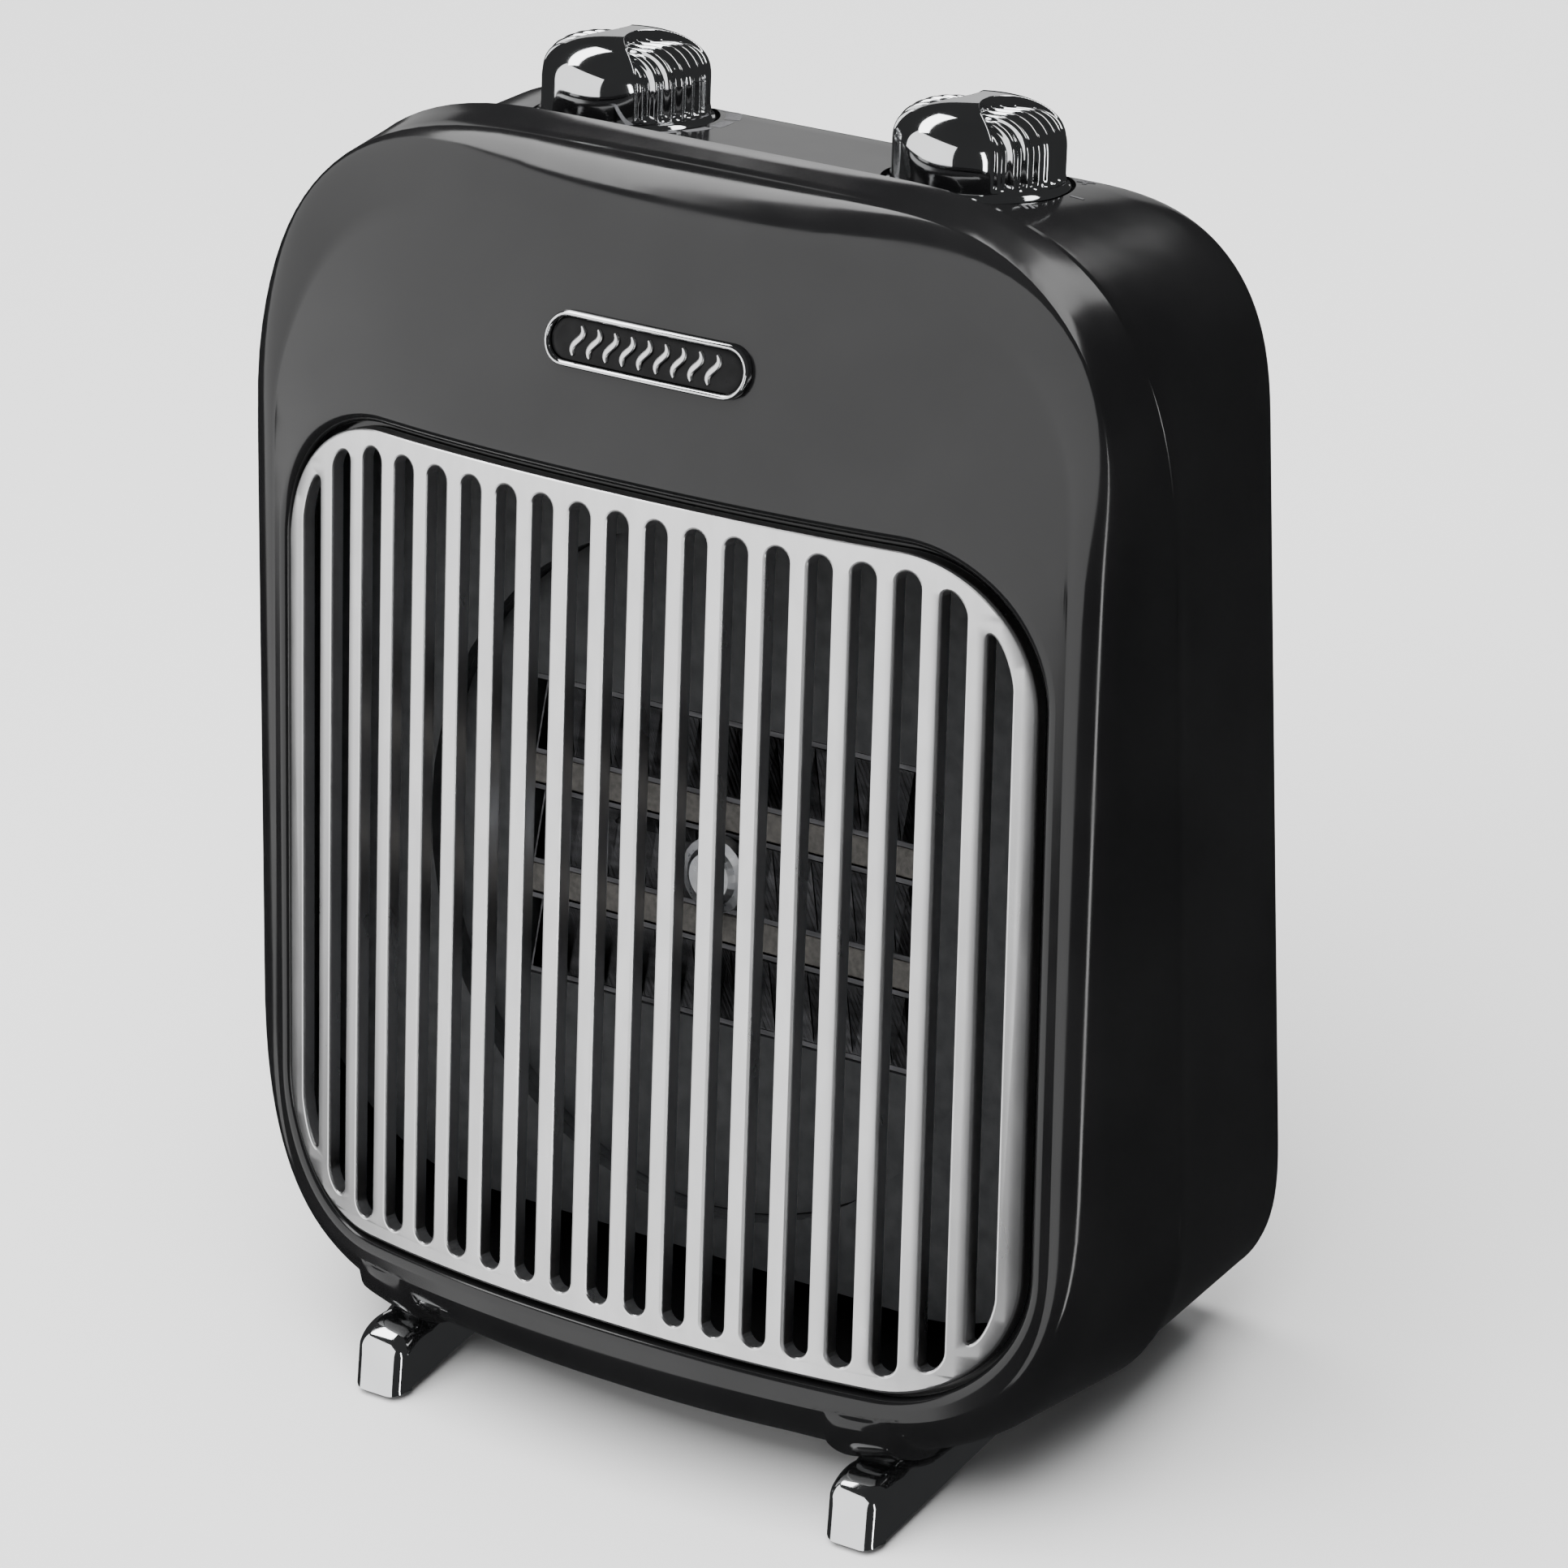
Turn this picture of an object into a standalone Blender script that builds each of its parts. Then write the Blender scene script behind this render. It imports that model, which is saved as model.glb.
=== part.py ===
"""Ceramic fan heater: a leaning, rounded case on two chrome skids, with a slotted front grille,
two control knobs on the top deck, a PTC heater stack, an axial fan and a tip-over switch.

The case is drawn upright in its own frame (x across, y from the front to the back, z up the grille)
and then leans back as one, so that the skids lie flat on the floor.
"""
import math

import bmesh
import bpy
from mathutils import Matrix, Vector
from mathutils.geometry import tessellate_polygon

# ---------------------------------------------------------------- sizes of the case (metres)
FIT = 0.0003                 # clearance between two pieces that touch
LEAN = math.radians(17.5)    # the grille leans back from the vertical
FLOOR_DROP = 0.1170          # height of the grille's centre above the floor, square to it
SHIFT_Y = -0.0421            # brings the middle of the footprint to y = 0

CASE_W = 0.1080              # half width of the case at its seam
CASE_T = 0.1520              # seam top above the grille centre
CASE_B = 0.0972              # seam bottom below the grille centre
CORNER_T = 0.0696            # upper corner reach of the case outline
CORNER_B = 0.0530            # lower corner reach of the case outline
SQUIRCLE = 2.7               # roundness of the case corners (2 is a plain arc)
WALL = 0.0025                # wall of the mouldings
SEAM_Y = 0.0444              # seam plane behind the grille centre
SEAM_TILT = 0.095            # the seam plane comes forward towards the top
NOSE_Y = 0.0230              # widest line of the fascia's rolled edge
NOSE_TURN = 0.050            # its sides lie further back towards the foot
NOSE_DROP = 0.1056           # fascia underside below the grille centre
NOSE_CORNER = 0.0720         # lower corner reach of the rolled edge

BACK_Y = 0.0920              # rear plane behind the grille centre
BACK_TILT = 0.110
BACK_W = CASE_W - 0.0070
BACK_T = CASE_T - 0.0045
BACK_B = 0.0852
BACK_CORNER_T = 0.0430
BACK_CORNER_B = 0.0380
BACK_ROLL = 0.0050           # rounded edge of the rear wall
DECK_STEP = 0.0032           # the deck lies below the shell's front rim

# ---------------------------------------------------------------- sizes of the front grille
GRILLE_W = 0.0940            # half width
GRILLE_H = 0.0864
GRILLE_CORNER = 0.0290
GRILLE_THICK = 0.0038
CROWN = 0.0128               # the grille's sides lie this far behind its middle
CROWN_POWER = 2.3
CROWN_W = CASE_W - 0.0140     # half width at which the crown is measured
CROWN_TWIST = 0.17           # a little more crown at the foot than at the head
PLATE_LEAN = 0.24            # the fascia leans back above the grille
SLOTS = 19
SLOT_PITCH = 2 * (GRILLE_W - 0.0028) / SLOTS
SLOT_W = SLOT_PITCH * 0.5625
SLOT_MARGIN = 0.0037
LIP_GAP = 0.0012
LIP_ROLL = 0.0020

# ---------------------------------------------------------------- sizes of the inner parts
DUCT_Y = 0.0320
DUCT_R = 0.0720
DUCT_THICK = 0.0030
SHROUD_WALL = 0.0025
SHROUD_END = 0.0740
CORE_W = DUCT_R - 0.0220     # half width of the heater's fin banks
BANK_H = (DUCT_R - 0.0210) / 3   # height of one fin bank
BANKS = 3
BAR_H = 0.0060               # height of one ceramic bar
CORE_Y = 0.0380
CORE_DEPTH = 0.0120
FINS = 15
HUB_R = 0.0230
HUB_Y = 0.0540
HUB_DEPTH = 0.0130
BLADES = 7
BLADE_R = DUCT_R - 0.0040
MOTOR_R = 0.0190
MOTOR_END = 0.0815
SHAFT_R = 0.0020
BRACKET_THICK = 0.0020

# ---------------------------------------------------------------- sizes of the controls
KNOB_X = 0.0440
KNOB_Y = 0.0553
KNOB_R = 0.0180
KNOB_H = 0.0186
KNOB_SEAT = CASE_T - 0.0060  # height of the knob's rim
STEM_R = 0.0030
STEM_HOLE = 0.0045
DECK_LOW = CASE_T - 0.0090   # underside of the deck
BADGE_X = 0.0020
BADGE_Z = 0.1140
BADGE_W = 0.0252
BADGE_R = 0.0054
BADGE_RIM = 0.0010

# ---------------------------------------------------------------- sizes of the skids and the base
SKID_IN = 0.0547
SKID_OUT = 0.0684
SKID_NOSE = 0.0046
SKID_END = 0.1000
PAD_H = 0.0010
PAD_L = 0.0140
PAD_W = 0.0080

TOP_PTS, CORNER_PTS, SIDE_PTS = 4, 8, 5

cos_l, sin_l = math.cos(LEAN), math.sin(LEAN)
STAND = Matrix.Translation((0, SHIFT_Y, FLOOR_DROP)) @ Matrix.Rotation(-LEAN, 4, "X")


def stand(x, y, z):
    """A place in the upright case frame, as it stands on the floor."""
    return STAND @ Vector((x, y, z))


# ---------------------------------------------------------------- materials
def material(name, colour, rough, metal=0.0, coat=0.0):
    """One Principled surface."""
    mat = bpy.data.materials.new(name)
    mat.use_nodes = True
    shader = mat.node_tree.nodes["Principled BSDF"]
    shader.inputs["Base Color"].default_value = (*colour, 1.0)
    shader.inputs["Roughness"].default_value = rough
    shader.inputs["Metallic"].default_value = metal
    shader.inputs["Coat Weight"].default_value = coat
    mat.diffuse_color = (*colour, 1.0)
    return mat


for old in list(bpy.data.objects):
    bpy.data.objects.remove(old, do_unlink=True)

GLOSS = material("gloss_black", (0.012, 0.012, 0.013), 0.12, coat=0.5)
SATIN = material("satin_metal", (0.72, 0.73, 0.74), 0.32, metal=1.0)
CHROME = material("chrome", (0.86, 0.87, 0.88), 0.05, metal=1.0)
DARK = material("dark_moulding", (0.035, 0.036, 0.038), 0.5)
FIN = material("fin_aluminium", (0.78, 0.79, 0.80), 0.35, metal=1.0)
CERAMIC = material("ceramic", (0.78, 0.74, 0.66), 0.6)
STEEL = material("plated_steel", (0.55, 0.56, 0.58), 0.3, metal=1.0)
RUBBER = material("rubber", (0.02, 0.02, 0.02), 0.85)
BAKELITE = material("switch_moulding", (0.10, 0.06, 0.04), 0.45)
PALE = material("pale_moulding", (0.75, 0.74, 0.70), 0.5)


# ---------------------------------------------------------------- building closed solids
def solid(name, verts, faces, mat, smooth=30.0, place=STAND, origin=None):
    """A named closed solid; its origin is a place in the case frame when one is given."""
    mesh = bpy.data.meshes.new(name)
    mesh.from_pydata([tuple(v) for v in verts], [], faces)
    mesh.materials.append(mat)
    mesh.transform(place)
    body = bmesh.new()
    body.from_mesh(mesh)
    bmesh.ops.remove_doubles(body, verts=body.verts, dist=0.000002)
    bmesh.ops.recalc_face_normals(body, faces=body.faces)
    for edge in body.edges:
        flat = len(edge.link_faces) != 2 or edge.calc_face_angle(4.0) > math.radians(smooth)
        edge.smooth = not flat
    for face in body.faces:
        face.smooth = True
    body.to_mesh(mesh)
    body.free()
    obj = bpy.data.objects.new(name, mesh)
    bpy.context.scene.collection.objects.link(obj)
    if origin is not None:
        mesh.transform(Matrix.Translation(-origin))
        obj.location = origin
    return obj


def loft(name, rings, mat, ends=False, **more):
    """Skin over matching rings: joined back to the first ring, or capped at both ends."""
    count = len(rings[0])
    verts = [p for ring in rings for p in ring]
    faces = []
    last = len(rings) - 1 if ends else len(rings)
    for i in range(last):
        a = i * count
        b = ((i + 1) % len(rings)) * count
        for j in range(count):
            k = (j + 1) % count
            faces.append((a + j, a + k, b + k, b + j))
    if ends:
        faces.append(tuple(range(count)))
        faces.append(tuple(range((len(rings) - 1) * count, len(rings) * count))[::-1])
    return solid(name, verts, faces, mat, **more)


def turned(name, profile, mat, steps=32, axis="Z", at=(0, 0, 0), **more):
    """A closed (radius, height) profile turned about an axis; points at radius 0 close the ends."""
    verts, rows = [], []
    for r, h in profile:
        row = []
        for j in range(1 if r < 1e-9 else steps):
            a = 2 * math.pi * j / steps
            p = (r * math.cos(a), r * math.sin(a), h)
            p = p if axis == "Z" else (p[0], p[2], p[1])
            row.append(len(verts))
            verts.append((p[0] + at[0], p[1] + at[1], p[2] + at[2]))
        rows.append(row)
    faces = []
    for i in range(len(rows)):
        a, b = rows[i], rows[(i + 1) % len(rows)]
        if len(a) == 1 and len(b) == 1:
            continue
        for j in range(steps):
            k = (j + 1) % steps
            ring = [a[j % len(a)], a[k % len(a)], b[k % len(b)], b[j % len(b)]]
            faces.append(tuple(dict.fromkeys(ring)))
    return solid(name, verts, faces, mat, **more)


def pierced(name, outer, holes, depth, mat, lift, folds=(), **more):
    """A plate in x and z with holes, `depth` thick towards +y; lift(x, z) gives its front face.
    A curved plate is folded along upright lines so that it follows its curve."""
    loops = [outer] + holes
    tris = tessellate_polygon([[Vector((x, z, 0)) for x, z in loop] for loop in loops])
    flat = [p for loop in loops for p in loop]
    total = len(flat)
    plate = bmesh.new()
    spots = [plate.verts.new((x, y, z)) for y in (0.0, depth) for x, z in flat]
    for t in tris:
        plate.faces.new([spots[i] for i in t])
        plate.faces.new([spots[i + total] for i in reversed(t)])
    start = 0
    for loop in loops:
        for j in range(len(loop)):
            a, b = start + j, start + (j + 1) % len(loop)
            plate.faces.new([spots[i] for i in (a, b, b + total, a + total)])
        start += len(loop)
    for x in folds:
        every = plate.verts[:] + plate.edges[:] + plate.faces[:]
        bmesh.ops.bisect_plane(plate, geom=every, dist=0.00001, plane_co=(x, 0, 0),
                               plane_no=(1, 0, 0))
    plate.verts.index_update()
    verts = [(v.co.x, v.co.y + lift(v.co.x, v.co.z), v.co.z) for v in plate.verts]
    faces = [tuple(v.index for v in face.verts) for face in plate.faces]
    plate.free()
    return solid(name, verts, faces, mat, **more)


def block(name, low, high, mat, bevel=0.0008, **more):
    """A box between two corners with its edges eased, in the case frame."""
    x0, y0, z0 = low
    x1, y1, z1 = high
    e = bevel
    def ring(y, inset):
        pts = []
        for cx, cz, s in ((x1, z1, 0), (x0, z1, 1), (x0, z0, 2), (x1, z0, 3)):
            mx = cx - e if s in (0, 3) else cx + e
            mz = cz - e if s in (0, 1) else cz + e
            for q in range(3):
                a = math.pi / 2 * (s + q / 2)
                pts.append((mx + (e - inset) * math.cos(a), y, mz + (e - inset) * math.sin(a)))
        return pts
    half = e * 0.5
    rings = [ring(y0, half), ring(y0 + half, 0), ring(y1 - half, 0), ring(y1, half)]
    return loft(name, rings, mat, ends=True, **more)


def circle(radius, steps, x=0.0, z=0.0, turn=0.0):
    """Points round a circle in x and z."""
    return [(x + radius * math.cos(turn + 2 * math.pi * j / steps),
             z + radius * math.sin(turn + 2 * math.pi * j / steps)) for j in range(steps)]


def cut(obj, cutter):
    """Take one solid out of another, for good."""
    mod = obj.modifiers.new("cut", "BOOLEAN")
    mod.operation = "DIFFERENCE"
    mod.solver = "EXACT"
    mod.object = cutter
    apply_and_drop(obj, cutter)


def join(obj, other):
    """Fuse one solid to another, for good."""
    mod = obj.modifiers.new("join", "BOOLEAN")
    mod.operation = "UNION"
    mod.solver = "EXACT"
    mod.object = other
    apply_and_drop(obj, other)


def apply_and_drop(obj, tool):
    """Bake the object's modifiers into its mesh and remove the tool."""
    graph = bpy.context.evaluated_depsgraph_get()
    done = bpy.data.meshes.new_from_object(obj.evaluated_get(graph))
    done.name = obj.name
    obj.modifiers.clear()
    obj.data = done
    bpy.data.objects.remove(tool, do_unlink=True)
    merged = bmesh.new()
    merged.from_mesh(done)
    bmesh.ops.remove_doubles(merged, verts=merged.verts, dist=0.000002)
    bmesh.ops.dissolve_degenerate(merged, edges=merged.edges, dist=0.000001)
    merged.to_mesh(done)
    merged.free()


# ---------------------------------------------------------------- outlines of the case
def arc_point(t, n):
    """A quarter turn of a superellipse, from (0, 1) to (1, 0)."""
    a = t * math.pi / 2
    return math.sin(a) ** (2 / n), math.cos(a) ** (2 / n)


def outline(w, t, b, rt, rb, n=SQUIRCLE):
    """A rounded outline about the grille centre, with matching stations for every size."""
    right = []
    for i in range(TOP_PTS):
        right.append(((w - rt) * i / TOP_PTS, t))
    for i in range(CORNER_PTS):
        s, c = arc_point(i / CORNER_PTS, n)
        right.append((w - rt + rt * s, t - rt + rt * c))
    for i in range(SIDE_PTS):
        right.append((w, t - rt + (rb - b - t + rt) * i / SIDE_PTS))
    for i in range(CORNER_PTS):
        s, c = arc_point(i / CORNER_PTS, n)
        right.append((w - rb + rb * c, rb - b - rb * s))
    for i in range(TOP_PTS):
        right.append(((w - rb) * (1 - i / TOP_PTS), -b))
    left = [(-x, z) for x, z in right[1:]][::-1]
    return right + [(0.0, -b)] + left


def grille_outline(grow=0.0):
    """The grille's edge, grown outwards by a margin."""
    r = GRILLE_CORNER + grow
    return outline(GRILLE_W + grow, GRILLE_H + grow, GRILLE_H + grow, r, r, 2.0)


def face_y(x, z):
    """Front surface of the grille and of the fascia round it."""
    h = max(-1.0, min(1.0, z / GRILLE_H))
    crown = CROWN * (abs(x) / CROWN_W) ** CROWN_POWER * (1 - CROWN_TWIST * h)
    return crown + PLATE_LEAN * max(0.0, z - GRILLE_H)


def on_face(points, back=0.0):
    """Lay an outline on the front surface."""
    return [(x, face_y(x, z) + back, z) for x, z in points]


def on_plane(points, y, tilt):
    """Lay an outline on a plane that comes forward towards the top."""
    return [(x, y - tilt * z, z) for x, z in points]


def on_nose(points, back=0.0):
    """Lay an outline on the widest line of the fascia's rolled edge."""
    return [(x, NOSE_Y + back - NOSE_TURN * z * (x / CASE_W) ** 2, z) for x, z in points]


def between(a, b, t):
    """Ring part of the way between two rings."""
    return [tuple(p + (q - p) * t for p, q in zip(u, v)) for u, v in zip(a, b)]


def rolled(a, b, t):
    """Ring on a rounded edge that leaves ring a outwards and reaches ring b backwards."""
    out, deep = math.sin(t * math.pi / 2), 1 - math.cos(t * math.pi / 2)
    return [(p[0] + (q[0] - p[0]) * out, p[1] + (q[1] - p[1]) * deep,
             p[2] + (q[2] - p[2]) * out) for p, q in zip(a, b)]


# ---------------------------------------------------------------- front fascia
def fascia_rings():
    """Outer skin of the fascia, from the grille opening to the seam."""
    opening = on_face(grille_outline(LIP_GAP + LIP_ROLL))
    edge_t = CASE_T - 0.0180
    edge = on_face(outline(CASE_W - 0.0085, edge_t, GRILLE_H + 0.0065,
                           CORNER_T - 0.0110, CORNER_B - 0.0100))
    nose = on_nose(outline(CASE_W, CASE_T - 0.0030, NOSE_DROP, CORNER_T, NOSE_CORNER))
    seam = on_plane(outline(CASE_W, CASE_T, CASE_B, CORNER_T, CORNER_B), SEAM_Y, SEAM_TILT)
    plate = [between(opening, edge, t) for t in (0.2, 0.4, 0.6, 0.8)]
    rings = [opening] + [on_face([(x, z) for x, y, z in ring]) for ring in plate] + [edge]
    rings += [rolled(edge, nose, t) for t in (0.25, 0.5, 0.75)]
    rings += [nose, between(nose, seam, 0.5), seam]
    return rings


outer = fascia_rings()
seam_in = on_plane(outline(CASE_W - WALL, CASE_T - WALL, CASE_B - WALL,
                           CORNER_T - WALL, CORNER_B - WALL), SEAM_Y, SEAM_TILT)
nose_in = on_nose(outline(CASE_W - WALL, CASE_T - 0.0030 - WALL, NOSE_DROP - WALL,
                          CORNER_T - WALL, NOSE_CORNER - WALL), 0.0025)
edge_in = on_face(outline(CASE_W - 0.0070, CASE_T - 0.0200, GRILLE_H + 0.0075,
                          CORNER_T - 0.0120, CORNER_B - 0.0100), 0.0075)
seat = GRILLE_THICK + FIT
LEDGE = 0.0025
skin = [seam_in, nose_in, edge_in,
        on_face(grille_outline(0.0050), seat + 0.0020),
        on_face(grille_outline(-LEDGE), seat + 0.0020),
        on_face(grille_outline(-LEDGE), seat),
        on_face(grille_outline(LIP_GAP), seat),
        on_face(grille_outline(LIP_GAP), LIP_ROLL),
        on_face(grille_outline(LIP_GAP + 0.0006), 0.0006)]
fascia = loft("front_fascia", skin + outer, GLOSS)

# ---------------------------------------------------------------- front grille
def slot_hole(index):
    """One upright slot; the outer ones follow the grille's round corners."""
    mid = (index - (SLOTS - 1) / 2) * SLOT_PITCH
    r = SLOT_W / 2
    rim = GRILLE_CORNER - SLOT_MARGIN
    top, bottom = [], []
    for j in range(5):
        a = math.pi * (1 - j / 4)
        x = mid + r * math.cos(a)
        over = max(0.0, abs(x) - (GRILLE_W - GRILLE_CORNER))
        drop = rim - math.sqrt(max(0.0, rim * rim - over * over))
        z = GRILLE_H - SLOT_MARGIN - drop - r + r * math.sin(a)
        top.append((x, z))
        bottom.append((x, -z))
    return top + bottom[::-1]


grille = pierced("front_grille", [(x, z) for x, z in grille_outline()],
                 [slot_hole(i) for i in range(SLOTS)], GRILLE_THICK, SATIN, face_y,
                 folds=[(i - SLOTS / 2) * SLOT_PITCH for i in range(SLOTS + 1)])


# ---------------------------------------------------------------- rear shell
def rear_rings():
    """Outer skin of the rear shell, from its front rim to the rear wall's opening."""
    y = SEAM_Y + FIT
    rim = [outline(CASE_W - 0.0006, CASE_T - 0.0006, CASE_B - 0.0006, CORNER_T, CORNER_B),
           outline(CASE_W - 0.0006, CASE_T - 0.0010, CASE_B - 0.0006, CORNER_T, CORNER_B),
           outline(CASE_W - 0.0014, CASE_T - DECK_STEP - 0.0008, CASE_B - 0.0010,
                   CORNER_T - 0.0020, CORNER_B)]
    rings = [on_plane(rim[0], y, SEAM_TILT), on_plane(rim[1], y + 0.0024, SEAM_TILT),
             on_plane(rim[2], y + 0.0038, SEAM_TILT)]
    full = on_plane(outline(BACK_W, BACK_T, BACK_B, BACK_CORNER_T, BACK_CORNER_B),
                    BACK_Y - BACK_ROLL, BACK_TILT)
    rings += [between(rings[-1], full, t) for t in (0.33, 0.67)] + [full]
    for t in (0.33, 0.67, 1.0):
        a = t * math.pi / 2
        shrink = BACK_ROLL * (1 - math.cos(a))
        deep = BACK_ROLL * math.sin(a)
        rings.append(on_plane(outline(BACK_W - shrink, BACK_T - shrink, BACK_B - shrink,
                                      BACK_CORNER_T - shrink, BACK_CORNER_B - shrink),
                              BACK_Y - BACK_ROLL + deep, BACK_TILT))
    return rings


INTAKE_W, INTAKE_T, INTAKE_B, INTAKE_R = 0.0720, 0.0760, 0.0620, 0.0200
back_wall = WALL
intake = outline(INTAKE_W, INTAKE_T, INTAKE_B, INTAKE_R, INTAKE_R, 2.0)
shell_in = [on_plane(intake, BACK_Y, BACK_TILT),
            on_plane(intake, BACK_Y - back_wall, BACK_TILT),
            on_plane(outline(BACK_W - 0.0080, BACK_T - 0.0070, BACK_B - 0.0070,
                             BACK_CORNER_T - 0.0080, BACK_CORNER_B - 0.0080),
                     BACK_Y - back_wall, BACK_TILT),
            on_plane(outline(BACK_W - 0.0042, BACK_T - 0.0040, BACK_B - 0.0040,
                             BACK_CORNER_T - 0.0040, BACK_CORNER_B - 0.0040),
                     BACK_Y - BACK_ROLL - 0.0020, BACK_TILT),
            on_plane(outline(CASE_W - 0.0014 - WALL, CASE_T - DECK_STEP - 0.0008 - WALL - 0.0015,
                             CASE_B - 0.0010 - WALL, CORNER_T - 0.0045, CORNER_B - WALL),
                     SEAM_Y + 0.0042, SEAM_TILT),
            on_plane(outline(CASE_W - 0.0006 - WALL, CASE_T - 0.0006 - WALL - 0.0015,
                             CASE_B - 0.0006 - WALL, CORNER_T - WALL, CORNER_B - WALL),
                     SEAM_Y + FIT, SEAM_TILT)]
shell = loft("rear_shell", rear_rings() + shell_in, GLOSS)
for side in (-1, 1):
    x = side * KNOB_X
    dish = turned("dish", [(0, KNOB_SEAT - FIT), (KNOB_R + 0.0012, KNOB_SEAT - FIT),
                           (KNOB_R + 0.0012, KNOB_SEAT + 0.0100), (0, KNOB_SEAT + 0.0100)],
                  GLOSS, steps=40, at=(x, KNOB_Y, 0))
    cut(shell, dish)
    stem_hole = turned("stem_hole", [(0, DECK_LOW - 0.0100), (STEM_HOLE, DECK_LOW - 0.0100),
                                     (STEM_HOLE, KNOB_SEAT + 0.0100), (0, KNOB_SEAT + 0.0100)],
                       GLOSS, steps=20, at=(x, KNOB_Y, 0))
    cut(shell, stem_hole)

# ---------------------------------------------------------------- rear intake grille
VENT_ROWS = 12
VENT_COLS = 3
VENT_PITCH = 0.0100
VENT_H = 0.0054
VENT_W = 0.0380
VENT_RIB = 0.0046


def vent(x, z):
    """One long vent with round ends."""
    r = VENT_H / 2
    right = [(x + VENT_W / 2 - r + r * math.cos(a), z + r * math.sin(a))
             for a in [math.pi / 2 - math.pi * j / 2 for j in range(3)]]
    left = [(x - VENT_W / 2 + r + r * math.cos(a), z + r * math.sin(a))
            for a in [-math.pi / 2 - math.pi * j / 2 for j in range(3)]]
    return right + left


vent_mid = (INTAKE_T - INTAKE_B) / 2
vents = [vent((col - (VENT_COLS - 1) / 2) * (VENT_W + VENT_RIB),
              vent_mid + (row - (VENT_ROWS - 1) / 2) * VENT_PITCH)
         for row in range(VENT_ROWS) for col in range(VENT_COLS)]
pierced("intake_grille",
        outline(INTAKE_W - FIT, INTAKE_T - FIT, INTAKE_B - FIT, INTAKE_R, INTAKE_R, 2.0),
        vents, WALL, DARK, lambda x, z: BACK_Y - WALL - BACK_TILT * z)

# ---------------------------------------------------------------- duct panel and fan shroud
pierced("duct_panel",
        outline(CASE_W - WALL - FIT, 0.1120, 0.0800, 0.0300, 0.0480, 2.0),
        [circle(DUCT_R, 48)], DUCT_THICK, DARK, lambda x, z: DUCT_Y)
shroud_y = DUCT_Y + DUCT_THICK + FIT
turned("fan_shroud", [(DUCT_R, shroud_y), (DUCT_R + SHROUD_WALL + 0.0030, shroud_y),
                      (DUCT_R + SHROUD_WALL + 0.0030, shroud_y + 0.0020),
                      (DUCT_R + SHROUD_WALL, shroud_y + 0.0020),
                      (DUCT_R + SHROUD_WALL, SHROUD_END), (DUCT_R, SHROUD_END)],
       DARK, steps=48, axis="Y")

# ---------------------------------------------------------------- heater stack
stack_h = BANKS * BANK_H + (BANKS - 1) * (BAR_H + 2 * FIT)
window_w, window_h = CORE_W + FIT, stack_h / 2 + FIT
pierced("heater_frame", circle(DUCT_R - FIT, 48),
        [[(-window_w, window_h), (window_w, window_h), (window_w, -window_h),
          (-window_w, -window_h)]], CORE_DEPTH + 0.0010, DARK, lambda x, z: CORE_Y - 0.0005)
fin_pitch = 2 * (CORE_W - 0.0020) / FINS
for b in range(BANKS):
    z0 = -stack_h / 2 + b * (BANK_H + BAR_H + 2 * FIT)
    gaps = []
    for i in range(FINS):
        x0 = -CORE_W + 0.0020 + i * fin_pitch + 0.0008
        x1 = x0 + fin_pitch - 0.0016
        gaps.append([(x0, z0 + 0.0016), (x1, z0 + 0.0016), (x1, z0 + BANK_H - 0.0016),
                     (x0, z0 + BANK_H - 0.0016)])
    pierced("fin_bank_%d" % (b + 1),
            [(-CORE_W, z0), (CORE_W, z0), (CORE_W, z0 + BANK_H), (-CORE_W, z0 + BANK_H)],
            gaps, CORE_DEPTH, FIN, lambda x, z: CORE_Y)
for b in range(BANKS - 1):
    z0 = -stack_h / 2 + BANK_H + FIT + b * (BANK_H + BAR_H + 2 * FIT)
    block("ceramic_bar_%d" % (b + 1), (-CORE_W, CORE_Y, z0),
          (CORE_W, CORE_Y + CORE_DEPTH, z0 + BAR_H), CERAMIC, bevel=0.0006)
turned("thermal_cutout", [(0, CORE_Y - FIT - 0.0046), (0.0050, CORE_Y - FIT - 0.0046),
                          (0.0062, CORE_Y - FIT - 0.0036), (0.0080, CORE_Y - FIT - 0.0030),
                          (0.0080, CORE_Y - FIT), (0, CORE_Y - FIT)],
       STEEL, steps=24, axis="Y")

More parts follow.
